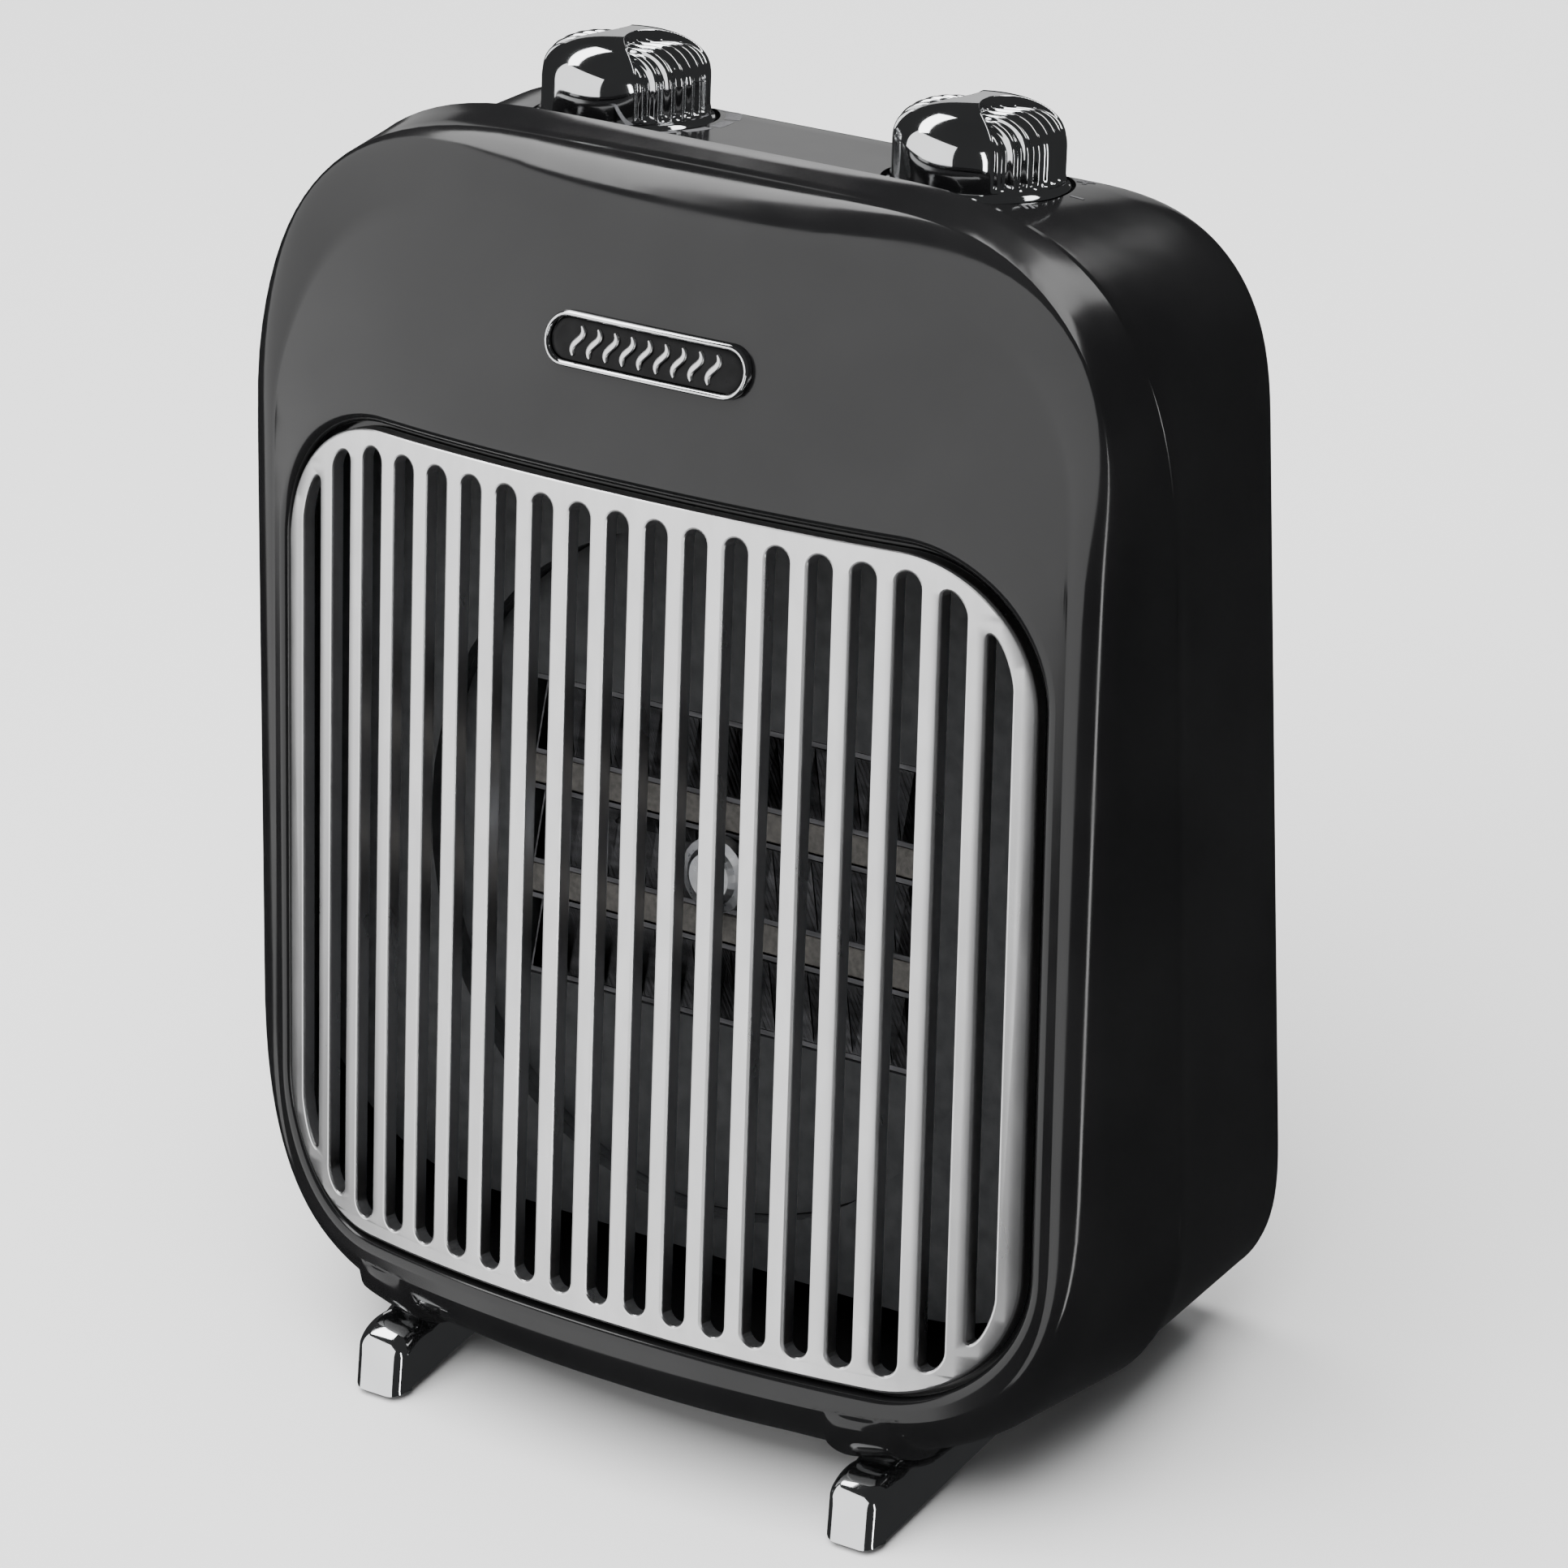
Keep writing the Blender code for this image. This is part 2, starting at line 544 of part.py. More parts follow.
# ---------------------------------------------------------------- fan and motor
bore = SHAFT_R + FIT
fan_axis = stand(0, HUB_Y, 0)
motor_front = HUB_Y + 0.0045
fan = turned("fan_impeller", [(bore, HUB_Y), (HUB_R - 0.0015, HUB_Y), (HUB_R, HUB_Y + 0.0015),
                              (HUB_R, HUB_Y + HUB_DEPTH), (HUB_R - 0.0023, HUB_Y + HUB_DEPTH),
                              (HUB_R - 0.0023, HUB_Y + 0.0020), (0.0050, HUB_Y + 0.0020),
                              (0.0050, motor_front - 0.0005), (bore, motor_front - 0.0005)],
             DARK, steps=42, axis="Y", origin=fan_axis)
for k in range(BLADES):
    turn = 2 * math.pi * k / BLADES
    rings = []
    for s in range(4):
        r = HUB_R - 0.0012 + (BLADE_R - HUB_R + 0.0012) * s / 3
        pitch = math.radians(42 - 6 * s)
        half = 0.0085 + 0.0022 * s
        ring = []
        for u, v in ((-1, -1), (0, -1), (1, -1), (1, 1), (0, 1), (-1, 1)):
            bow = 0.0016 * (1 - u * u)
            along = u * half * math.cos(pitch) - (bow + v * 0.0006) * math.sin(pitch)
            deep = u * half * math.sin(pitch) + (bow + v * 0.0006) * math.cos(pitch)
            deep = max(-0.0055, min(0.0055, deep))
            a = turn + along / r
            ring.append((r * math.cos(a), HUB_Y + HUB_DEPTH / 2 + deep, r * math.sin(a)))
        rings.append(ring)
    join(fan, loft("blade", rings, DARK, ends=True))
turned("motor_shaft", [(0, HUB_Y - 0.0010), (SHAFT_R, HUB_Y - 0.0010), (SHAFT_R, MOTOR_END - 0.0100),
                       (0, MOTOR_END - 0.0100)], STEEL, steps=16, axis="Y", origin=fan_axis)
turned("fan_motor", [(bore, motor_front), (MOTOR_R - 0.0012, motor_front),
                     (MOTOR_R, motor_front + 0.0012), (MOTOR_R, MOTOR_END - 0.0012),
                     (MOTOR_R - 0.0012, MOTOR_END), (0, MOTOR_END),
                     (0, MOTOR_END - 0.0097), (bore, MOTOR_END - 0.0097)],
       STEEL, steps=36, axis="Y")
arms = []
for k in range(4):
    turn = math.pi / 4 + math.pi / 2 * k
    inner_r, outer_r, half = MOTOR_R + 0.0060, DUCT_R - 0.0040, 0.0040
    window = []
    for j in range(9):
        a = math.asin(half / outer_r) + (math.pi / 2 - 2 * math.asin(half / outer_r)) * j / 8
        window.append((outer_r * math.cos(a + turn), outer_r * math.sin(a + turn)))
    for j in range(5):
        a = math.asin(half / inner_r) + (math.pi / 2 - 2 * math.asin(half / inner_r)) * (4 - j) / 4
        window.append((inner_r * math.cos(a + turn), inner_r * math.sin(a + turn)))
    arms.append(window)
pierced("motor_bracket", circle(DUCT_R + SHROUD_WALL, 48), [circle(MOTOR_R + FIT, 36)] + arms,
        BRACKET_THICK, STEEL, lambda x, z: SHROUD_END + FIT)

# ---------------------------------------------------------------- controls under the deck
knob_profile = [(0, KNOB_H), (0.0060, KNOB_H - 0.0002), (0.0115, KNOB_H - 0.0014),
                (0.0150, KNOB_H - 0.0038), (0.0170, KNOB_H - 0.0068), (0.0176, KNOB_H - 0.0101),
                (KNOB_R - 0.0002, 0.0018), (KNOB_R + 0.0004, 0.0013), (KNOB_R + 0.0004, 0.0),
                (0.0160, 0.0), (0.0155, 0.0115), (0.0062, 0.0115), (0.0062, 0.0010),
                (STEM_R + FIT, 0.0010), (STEM_R + FIT, 0.0125), (0, 0.0125)]
for dial, side, deep, tall in (("thermostat", -1, 0.0110, 0.0210), ("mode", 1, 0.0120, 0.0240)):
    x = side * KNOB_X
    pivot = stand(x, KNOB_Y, KNOB_SEAT)
    turned(dial + "_knob", [(r, h + KNOB_SEAT) for r, h in knob_profile], CHROME, steps=28,
           at=(x, KNOB_Y, 0), origin=pivot)
    top = DECK_LOW
    low = top - 0.0062
    turned(dial + "_stem", [(0, low), (STEM_R, low), (STEM_R, KNOB_SEAT + 0.0125 - FIT),
                            (0, KNOB_SEAT + 0.0125 - FIT)], STEEL, steps=20,
           at=(x, KNOB_Y, 0), origin=pivot)
    body = block("thermostat_body" if side < 0 else "mode_switch",
                 (x - 0.0130, KNOB_Y - deep, top - tall), (x + 0.0130, KNOB_Y + deep, top),
                 PALE if side < 0 else BAKELITE, bevel=0.0012)
    socket = turned("socket", [(0, low - FIT), (STEM_R + FIT, low - FIT),
                               (STEM_R + FIT, top + 0.0050), (0, top + 0.0050)],
                    PALE, steps=20, at=(x, KNOB_Y, 0))
    cut(body, socket)
block("terminal_block", (-0.0180, DUCT_Y + DUCT_THICK + FIT, 0.0860),
      (0.0180, DUCT_Y + DUCT_THICK + 0.0110, 0.0990), PALE, bevel=0.0010)


# ---------------------------------------------------------------- badge on the fascia
def pill(half, r, steps=6):
    """A long outline with round ends, centred on the badge."""
    right = [(BADGE_X + half - r + r * math.cos(a), BADGE_Z + r * math.sin(a))
             for a in [math.pi / 2 - math.pi * j / steps for j in range(steps + 1)]]
    left = [(BADGE_X - half + r + r * math.cos(a), BADGE_Z + r * math.sin(a))
            for a in [-math.pi / 2 - math.pi * j / steps for j in range(steps + 1)]]
    return right + left


BADGE_LIFT = 0.0020
badge_folds = [i * 0.0070 for i in range(-3, 4)]
pierced("badge_rim", pill(BADGE_W, BADGE_R), [pill(BADGE_W - BADGE_RIM, BADGE_R - BADGE_RIM)],
        BADGE_LIFT - FIT, CHROME, lambda x, z: face_y(x, z) - BADGE_LIFT, folds=badge_folds)
inset = BADGE_RIM + FIT
pierced("badge_plate", pill(BADGE_W - inset, BADGE_R - inset), [], 0.0010, DARK,
        lambda x, z: face_y(x, z) - 0.0010 - FIT, folds=badge_folds)


# ---------------------------------------------------------------- skids and their pads
def underside(ring, x):
    """Where a case ring crosses the given x on its lower side."""
    best = None
    for j in range(len(ring)):
        p, q = ring[j], ring[(j + 1) % len(ring)]
        if (p[0] - x) * (q[0] - x) <= 0 and p[0] != q[0] and p[2] < 0:
            t = (x - p[0]) / (q[0] - p[0])
            best = (p[1] + (q[1] - p[1]) * t, p[2] + (q[2] - p[2]) * t)
    return best


def floor_z(y, height):
    """Level in the case frame at a height above the floor."""
    return (height - FLOOR_DROP + y * sin_l) / cos_l


def skid_profile(x, trim):
    """Side view of a skid: flat sole, rounded nose, and a back that follows the case."""
    sole = PAD_H + FIT + trim
    nose = SKID_NOSE + trim
    under = [underside(ring, x) for ring in outer[7:-1]]
    under += [underside(ring, x) for ring in rear_rings()[2:7]]
    slack = 0.0009 + trim
    top = [(nose, floor_z(nose, sole)), (nose + 0.0003, -0.1122), (nose + 0.0018, -0.1088),
           (nose + 0.0048, -0.1060)]
    for y, z in under:
        if y > nose + 0.0075 and y < SKID_END - 0.0080:
            top.append((y, z - slack))
    y_end = SKID_END - trim
    last = top[-1]
    after = [p for p in under if p[0] >= SKID_END - 0.0080][0]
    t = (y_end - last[0]) / (after[0] - last[0])
    top.append((y_end, last[1] + (after[1] - slack - last[1]) * t))
    return top + [(y_end, floor_z(y_end, sole))]


for name, side in (("skid_left", -1), ("skid_right", 1)):
    rings = []
    for x, trim in ((SKID_IN, 0.0012), (SKID_IN + 0.0012, 0.0), (SKID_OUT - 0.0012, 0.0),
                    (SKID_OUT, 0.0012)):
        rings.append([(side * x, y, z) for y, z in skid_profile(x, trim)])
    loft(name, rings, CHROME, ends=True)
    for end, y in (("front", SKID_NOSE + 0.0104), ("rear", SKID_END - 0.0090)):
        spot = stand(side * (SKID_IN + SKID_OUT) / 2, y, floor_z(y, 0.0))
        block("pad_%s_%s" % (name[5:], end),
              (spot.x - PAD_W / 2, spot.y - PAD_L / 2, 0.0),
              (spot.x + PAD_W / 2, spot.y + PAD_L / 2, PAD_H), RUBBER, bevel=0.0004,
              place=Matrix.Identity(4))

# ---------------------------------------------------------------- tip-over switch
TIP_X = -0.0400
TIP_R = 0.0040
tip = stand(TIP_X, 0.0700, -0.0880)
tip_low = 0.0002              # pressed in by the floor; it springs out by its travel
tip_top = 0.0235
tip_hole = turned("tip_hole", [(0, -0.0100), (TIP_R + 0.0005, -0.0100),
                               (TIP_R + 0.0005, 0.0180), (0, 0.0180)],
                  GLOSS, steps=24, at=(tip.x, tip.y, 0), place=Matrix.Identity(4))
cut(shell, tip_hole)
turned("tip_over_plunger", [(0, tip_low), (TIP_R - 0.0010, tip_low), (TIP_R, tip_low + 0.0010),
                            (TIP_R, tip_top), (0, tip_top)], PALE, steps=24,
       at=(tip.x, tip.y, 0), place=Matrix.Identity(4), origin=Vector((tip.x, tip.y, tip_low)))
tip_body = block("tip_over_switch", (tip.x - 0.0080, tip.y - 0.0060, 0.0136),
                 (tip.x + 0.0080, tip.y + 0.0060, 0.0290), BAKELITE, bevel=0.0008,
                 place=Matrix.Identity(4))
tip_bore = turned("tip_bore", [(0, 0.0100), (TIP_R + FIT, 0.0100),
                               (TIP_R + FIT, tip_top + FIT), (0, tip_top + FIT)],
                  PALE, steps=24, at=(tip.x, tip.y, 0), place=Matrix.Identity(4))
cut(tip_body, tip_bore)


# ---------------------------------------------------------------- cord gland and rear screws
def square_to_back(x, z):
    """Frame on the rear wall's face, its y axis pointing out of the wall."""
    return (STAND @ Matrix.Translation((x, BACK_Y - BACK_TILT * z, z))
            @ Matrix.Rotation(math.atan(BACK_TILT), 4, "X"))


gland_at = square_to_back(0.0560, -0.0718)
gland_hole = turned("gland_hole", [(0, -0.0100), (0.0052, -0.0100), (0.0052, 0.0100), (0, 0.0100)],
                    GLOSS, steps=24, axis="Y", place=gland_at)
cut(shell, gland_hole)
turned("cord_gland", [(0.0032, -0.0060), (0.0049, -0.0060), (0.0049, FIT), (0.0068, FIT),
                      (0.0062, 0.0028), (0.0032, 0.0034)], RUBBER, steps=24, axis="Y",
       place=gland_at)
screw_spots = [(-0.0835, 0.1000), (0.0835, 0.1000), (-0.0835, -0.0420), (0.0835, -0.0420)]
for i, (x, z) in enumerate(screw_spots):
    spot = square_to_back(x, z)
    hole = turned("hole", [(0, -0.0100), (0.0018, -0.0100), (0.0018, 0.0100), (0, 0.0100)],
                  GLOSS, steps=10, axis="Y", place=spot)
    cut(shell, hole)
    turned("rear_screw_%d" % (i + 1),
           [(0, -0.0080), (0.0015, -0.0080), (0.0015, FIT), (0.0034, FIT), (0.0034, 0.0012),
            (0.0022, 0.0020), (0, 0.0020)], STEEL, steps=12, axis="Y", place=spot)
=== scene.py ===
# %% [markdown]
# # A small ceramic heater in gloss black and chrome
# The heater is a rounded black case that leans back on two chrome skids. Its front is a slotted
# metal grille, and two chrome knobs stand on the top deck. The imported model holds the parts,
# their places and their joints. This lesson gives each visible part its final shape and finish.

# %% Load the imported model
import math

import bmesh
import bpy
from mathutils import Matrix, Vector


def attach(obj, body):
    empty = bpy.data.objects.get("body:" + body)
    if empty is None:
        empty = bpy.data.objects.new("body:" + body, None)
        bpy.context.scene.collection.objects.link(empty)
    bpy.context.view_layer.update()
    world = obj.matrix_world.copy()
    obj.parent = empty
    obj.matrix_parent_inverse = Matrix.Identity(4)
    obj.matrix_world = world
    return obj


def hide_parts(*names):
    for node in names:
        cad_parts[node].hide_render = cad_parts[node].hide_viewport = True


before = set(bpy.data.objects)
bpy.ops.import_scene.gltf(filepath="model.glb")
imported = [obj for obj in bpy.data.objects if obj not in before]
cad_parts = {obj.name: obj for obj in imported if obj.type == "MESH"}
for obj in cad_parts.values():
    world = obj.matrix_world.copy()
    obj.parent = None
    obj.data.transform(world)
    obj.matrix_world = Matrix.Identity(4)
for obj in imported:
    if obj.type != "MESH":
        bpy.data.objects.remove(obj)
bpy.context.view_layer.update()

# %% [markdown]
# ## The upright drawing and the lean
# On the real heater the grille, the seam and the knobs are all square to a case that leans
# back 17.5 degrees. Drawing each part already tilted would make every number awkward. So each
# part is modelled upright, with x across, y from front to back and z up the grille, and one
# matrix then stands it on the floor.

# %% Stand the upright drawing on the floor
LEAN = math.radians(17.5)
FLOOR_DROP, SHIFT_Y = 0.1170, -0.0421
STAND = Matrix.Translation((0, SHIFT_Y, FLOOR_DROP)) @ Matrix.Rotation(-LEAN, 4, "X")


def only(piece):
    """Select one object and make it active."""
    if bpy.context.object and bpy.context.object.mode != "OBJECT":
        bpy.ops.object.mode_set(mode="OBJECT")
    bpy.ops.object.select_all(action="DESELECT")
    piece.select_set(True)
    bpy.context.view_layer.objects.active = piece


def stand_up(piece):
    """Tilt a part from the upright drawing and keep the tilt in its mesh."""
    only(piece)
    piece.matrix_world = STAND @ piece.matrix_world
    bpy.ops.object.transform_apply(location=True, rotation=True, scale=True)


print("lean:", round(math.degrees(LEAN), 1), "degrees")

# %% [markdown]
# ## Rounded outlines
# The case, the grille and the back wall share one kind of outline: a rectangle whose corners
# are superellipses, so that the curve has no sudden start. Every outline has the same number
# of stations, which lets a skin run from one to the next without twisting.

# %% Draw an outline
TOP_STEPS, CORNER_STEPS, SIDE_STEPS = 14, 24, 12
CASE_CURVE = 2.7


def outline(w, t, b, rt, rb, n=CASE_CURVE):
    """Half width w, top t and bottom b about the grille's centre, corner reaches rt and rb."""
    right = [((w - rt) * i / TOP_STEPS, t) for i in range(TOP_STEPS)]
    for i in range(CORNER_STEPS):
        a = math.pi / 2 * i / CORNER_STEPS
        s, c = math.sin(a) ** (2 / n), math.cos(a) ** (2 / n)
        right.append((w - rt + rt * s, t - rt + rt * c))
    right += [(w, t - rt + (rb - b - t + rt) * i / SIDE_STEPS) for i in range(SIDE_STEPS)]
    for i in range(CORNER_STEPS):
        a = math.pi / 2 * i / CORNER_STEPS
        s, c = math.sin(a) ** (2 / n), math.cos(a) ** (2 / n)
        right.append((w - rb + rb * c, rb - b - rb * s))
    right += [((w - rb) * (1 - i / TOP_STEPS), -b) for i in range(TOP_STEPS)]
    return right + [(0.0, -b)] + [(-x, z) for x, z in right[1:]][::-1]


print("stations on each outline:", len(outline(1, 1, 1, 0.2, 0.2)))

# %% [markdown]
# ## Growing a skin ring by ring
# A moulded case is one smooth skin. It could be a subdivided cube, but then its sizes would
# only be near. Here a circle is laid on the first outline, extruded, and each new ring is laid
# on the next outline. A number kept on every vertex says which station it belongs to.

# %% Extrude a circle from outline to outline
def lay_ring(piece, ring):
    """Put the selected ring of vertices on the given places."""
    grown = bmesh.from_edit_mesh(piece.data)
    station = grown.verts.layers.int["station"]
    for vert in grown.verts:
        if vert.select:
            vert.co = ring[vert[station]]
    bmesh.update_edit_mesh(piece.data)


def ring_up(name, rings, closed=True, smooth=35):
    """A skin over matching rings, joined to its own start, or with a cap on both ends."""
    bpy.ops.object.select_all(action="DESELECT")
    bpy.ops.mesh.primitive_circle_add(vertices=len(rings[0]), radius=0.05,
                                      fill_type="NOTHING" if closed else "NGON")
    piece = bpy.context.object
    piece.name = piece.data.name = name
    numbers = piece.data.attributes.new("station", "INT", "POINT")
    numbers.data.foreach_set("value", list(range(len(rings[0]))))
    bpy.ops.object.mode_set(mode="EDIT")
    bpy.ops.mesh.select_all(action="SELECT")
    lay_ring(piece, rings[0])
    for ring in rings[1:] + (rings[:1] if closed else []):
        bpy.ops.mesh.extrude_region_move()
        lay_ring(piece, ring)
    bpy.ops.mesh.select_all(action="SELECT")
    bpy.ops.mesh.remove_doubles(threshold=0.0000005)
    bpy.ops.mesh.normals_make_consistent(inside=False)
    bpy.ops.object.mode_set(mode="OBJECT")
    piece.data.attributes.remove(piece.data.attributes["station"])
    bpy.ops.object.shade_smooth_by_angle(angle=math.radians(smooth))
    return piece


# %% [markdown]
# ## Finishes
# Six finishes carry the look: polished black moulding, satin metal, chrome, dark textured
# moulding, folded aluminium darkened by painted shade, and rubber. Six more are for small parts
# and for what lies inside.
# Each is one Principled shader whose colour and fine relief come from noise in Object
# coordinates, at the size that the real grain has, and on most of them the roughness drifts
# in the same way. Small helpers add one such effect each.

# %% Small helpers for a finish
def new_finish(name, colour, rough, metal=0.0):
    """One Principled surface with its plain values."""
    finish = bpy.data.materials.new(name)
    finish.use_nodes = True
    shader = finish.node_tree.nodes["Principled BSDF"]
    shader.inputs["Base Color"].default_value = (*colour, 1.0)
    shader.inputs["Roughness"].default_value = rough
    shader.inputs["Metallic"].default_value = metal
    return finish


def grain_of(finish, size, stretch=(1, 1, 1), detail=3.0):
    """Noise whose grains are about `size` metres across, longer where stretch is under 1."""
    tree = finish.node_tree
    coords = tree.nodes.new("ShaderNodeTexCoord")
    mapping = tree.nodes.new("ShaderNodeMapping")
    mapping.inputs["Scale"].default_value = stretch
    noise = tree.nodes.new("ShaderNodeTexNoise")
    noise.inputs["Scale"].default_value = 1.0 / size
    noise.inputs["Detail"].default_value = detail
    tree.links.new(coords.outputs["Object"], mapping.inputs["Vector"])
    tree.links.new(mapping.outputs["Vector"], noise.inputs["Vector"])
    return noise


def vary_rough(finish, size, low, high, stretch=(1, 1, 1)):
    """Roughness that drifts between two values."""
    tree = finish.node_tree
    noise = grain_of(finish, size, stretch)
    spread = tree.nodes.new("ShaderNodeMapRange")
    spread.inputs["From Min"].default_value = 0.3
    spread.inputs["From Max"].default_value = 0.7
    spread.inputs["To Min"].default_value = low
    spread.inputs["To Max"].default_value = high
    tree.links.new(noise.outputs["Fac"], spread.inputs["Value"])
    tree.links.new(spread.outputs["Result"],
                   tree.nodes["Principled BSDF"].inputs["Roughness"])


def vary_colour(finish, size, dark, light, stretch=(1, 1, 1)):
    """Colour that drifts between two shades."""
    tree = finish.node_tree
    noise = grain_of(finish, size, stretch)
    ramp = tree.nodes.new("ShaderNodeValToRGB")
    ramp.color_ramp.elements[0].position = 0.35
    ramp.color_ramp.elements[0].color = (*dark, 1.0)
    ramp.color_ramp.elements[1].position = 0.65
    ramp.color_ramp.elements[1].color = (*light, 1.0)
    tree.links.new(noise.outputs["Fac"], ramp.inputs["Fac"])
    tree.links.new(ramp.outputs["Color"], tree.nodes["Principled BSDF"].inputs["Base Color"])


def relief(finish, size, height, stretch=(1, 1, 1), detail=3.0):
    """Fine bumps of a real height in metres."""
    tree = finish.node_tree
    noise = grain_of(finish, size, stretch, detail)
    bump = tree.nodes.new("ShaderNodeBump")
    bump.inputs["Strength"].default_value = 1.0
    bump.inputs["Distance"].default_value = height
    tree.links.new(noise.outputs["Fac"], bump.inputs["Height"])
    tree.links.new(bump.outputs["Normal"], tree.nodes["Principled BSDF"].inputs["Normal"])


# %% [markdown]
# Polished black plastic isn't a mirror. It has a faint orange peel a few millimetres across,
# and handling leaves it a little duller in places. A clear coat would make it look lacquered,
# so there is none. The badge's black field is a duller enamel with less shine.

# %% Mix the finishes
POLISHED_BLACK = new_finish("polished_black", (0.0065, 0.0065, 0.0068), 0.12)
vary_colour(POLISHED_BLACK, 0.030, (0.0055, 0.0055, 0.0058), (0.0078, 0.0078, 0.0081))
vary_rough(POLISHED_BLACK, 0.018, 0.09, 0.17)
relief(POLISHED_BLACK, 0.0030, 0.0000030)

ENAMEL_BLACK = new_finish("enamel_black", (0.004, 0.004, 0.0042), 0.30)
vary_colour(ENAMEL_BLACK, 0.0040, (0.003, 0.003, 0.0032), (0.0055, 0.0055, 0.0058))
vary_rough(ENAMEL_BLACK, 0.0030, 0.26, 0.34)
relief(ENAMEL_BLACK, 0.0008, 0.0000020)
ENAMEL_BLACK.node_tree.nodes["Principled BSDF"].inputs["Specular IOR Level"].default_value = 0.15

SATIN_METAL = new_finish("satin_metal", (0.88, 0.88, 0.885), 0.30, 1.0)
vary_colour(SATIN_METAL, 0.0030, (0.86, 0.86, 0.865), (0.91, 0.91, 0.915), (1, 1, 0.2))
vary_rough(SATIN_METAL, 0.0080, 0.27, 0.33, (1, 1, 0.3))
relief(SATIN_METAL, 0.00040, 0.0000016)

CHROME = new_finish("chrome_plate", (0.83, 0.84, 0.85), 0.05, 1.0)
vary_colour(CHROME, 0.012, (0.80, 0.81, 0.82), (0.86, 0.87, 0.88))
vary_rough(CHROME, 0.0070, 0.035, 0.085)
relief(CHROME, 0.0018, 0.0000015)

DARK_MOULDING = new_finish("dark_moulding", (0.030, 0.031, 0.033), 0.5)
vary_colour(DARK_MOULDING, 0.0040, (0.024, 0.025, 0.027), (0.038, 0.039, 0.041))
vary_rough(DARK_MOULDING, 0.0025, 0.42, 0.60)
relief(DARK_MOULDING, 0.00060, 0.000030)

# The strips are far darker than bare aluminium: that darkness is painted shade for the dim inside of
# the case behind the grille.
FOLDED_ALUMINIUM_IN_PAINTED_SHADE = new_finish("folded_aluminium_in_painted_shade", (0.12, 0.12, 0.125), 0.42, 1.0)
vary_colour(FOLDED_ALUMINIUM_IN_PAINTED_SHADE, 0.0015, (0.080, 0.080, 0.084), (0.15, 0.15, 0.158), (0.1, 1, 1))
vary_rough(FOLDED_ALUMINIUM_IN_PAINTED_SHADE, 0.0030, 0.28, 0.45)
relief(FOLDED_ALUMINIUM_IN_PAINTED_SHADE, 0.0005, 0.000008, (0.15, 1, 1))

# The ceramic bars are dark grey of their own, and their colour is made darker still as painted shade
# for the dim inside of the case.
SINTERED_IN_PAINTED_SHADE = new_finish("sintered_ceramic_in_painted_shade", (0.085, 0.080, 0.075), 0.7)
vary_colour(SINTERED_IN_PAINTED_SHADE, 0.0012, (0.065, 0.062, 0.058), (0.110, 0.104, 0.096))
relief(SINTERED_IN_PAINTED_SHADE, 0.0003, 0.000025)

ZINC_PLATE = new_finish("zinc_plate", (0.56, 0.57, 0.59), 0.32, 1.0)
vary_colour(ZINC_PLATE, 0.0030, (0.48, 0.49, 0.52), (0.62, 0.63, 0.64))
vary_rough(ZINC_PLATE, 0.0015, 0.25, 0.42)
relief(ZINC_PLATE, 0.0006, 0.000008)

SOFT_RUBBER = new_finish("soft_rubber", (0.020, 0.020, 0.020), 0.85)
vary_colour(SOFT_RUBBER, 0.0020, (0.015, 0.015, 0.015), (0.028, 0.028, 0.028))
relief(SOFT_RUBBER, 0.0004, 0.000035)

BROWN_MOULDING = new_finish("brown_moulding", (0.10, 0.06, 0.04), 0.45)
vary_colour(BROWN_MOULDING, 0.0015, (0.080, 0.046, 0.030), (0.125, 0.078, 0.052))
relief(BROWN_MOULDING, 0.0005, 0.000020)

PALE_MOULDING = new_finish("pale_moulding", (0.72, 0.71, 0.67), 0.5)
vary_colour(PALE_MOULDING, 0.0040, (0.68, 0.67, 0.62), (0.76, 0.75, 0.71))
relief(PALE_MOULDING, 0.0007, 0.000020)

SCALE_INK = new_finish("scale_ink", (0.10, 0.10, 0.105), 0.75)
vary_colour(SCALE_INK, 0.0006, (0.080, 0.080, 0.084), (0.125, 0.125, 0.130))
relief(SCALE_INK, 0.0002, 0.000008)
print("finishes:", len(bpy.data.materials))

# %% [markdown]
# Every finished part is handed over in the same way: it gets its finish, it rides on a body of
# the imported model, and the imported nodes it takes the place of are hidden.

# %% Hand a part over
def hand_over(piece, finish, slot, body, *nodes):
    """Paint a finished part, let it ride on its body and hide the imported nodes it replaces."""
    piece.data.materials.clear()
    piece.data.materials.append(finish)
    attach(piece, body)
    if nodes:
        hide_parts(*nodes)
    size = [round(side * 1000, 1) for side in piece.dimensions]
    print(piece.name, "on", body, "size in mm", size, "faces", len(piece.data.polygons))


# %% [markdown]
# ## Front fascia
# The fascia is the bull-nosed front half of the case. It bows back towards its sides, leans
# back above the grille, rolls over a broad rounded edge and ends at the seam. Around the
# grille it has a soft rolled lip. All of that is one skin, so one list of rings makes it: up
# the lip, over the face, round the roll, to the seam and back along the inside.

# %% Sizes of the fascia
CASE_W, CASE_T, CASE_B = 0.1080, 0.1520, 0.0972
CORNER_T, CORNER_B, NOSE_CORNER = 0.0696, 0.0530, 0.0720
WALL = 0.0025
SEAM_Y, SEAM_TILT = 0.0444, 0.095
NOSE_Y, NOSE_TURN, NOSE_DROP = 0.0230, 0.050, 0.1056
GRILLE_W, GRILLE_H, GRILLE_CORNER, GRILLE_THICK = 0.0940, 0.0864, 0.0290, 0.0038
CROWN, CROWN_POWER, CROWN_TWIST = 0.0128, 2.3, 0.17
PLATE_LEAN, LEAN_BLEND = 0.24, 0.0080
LIP_GAP, LIP_ROLL = 0.0012, 0.0024


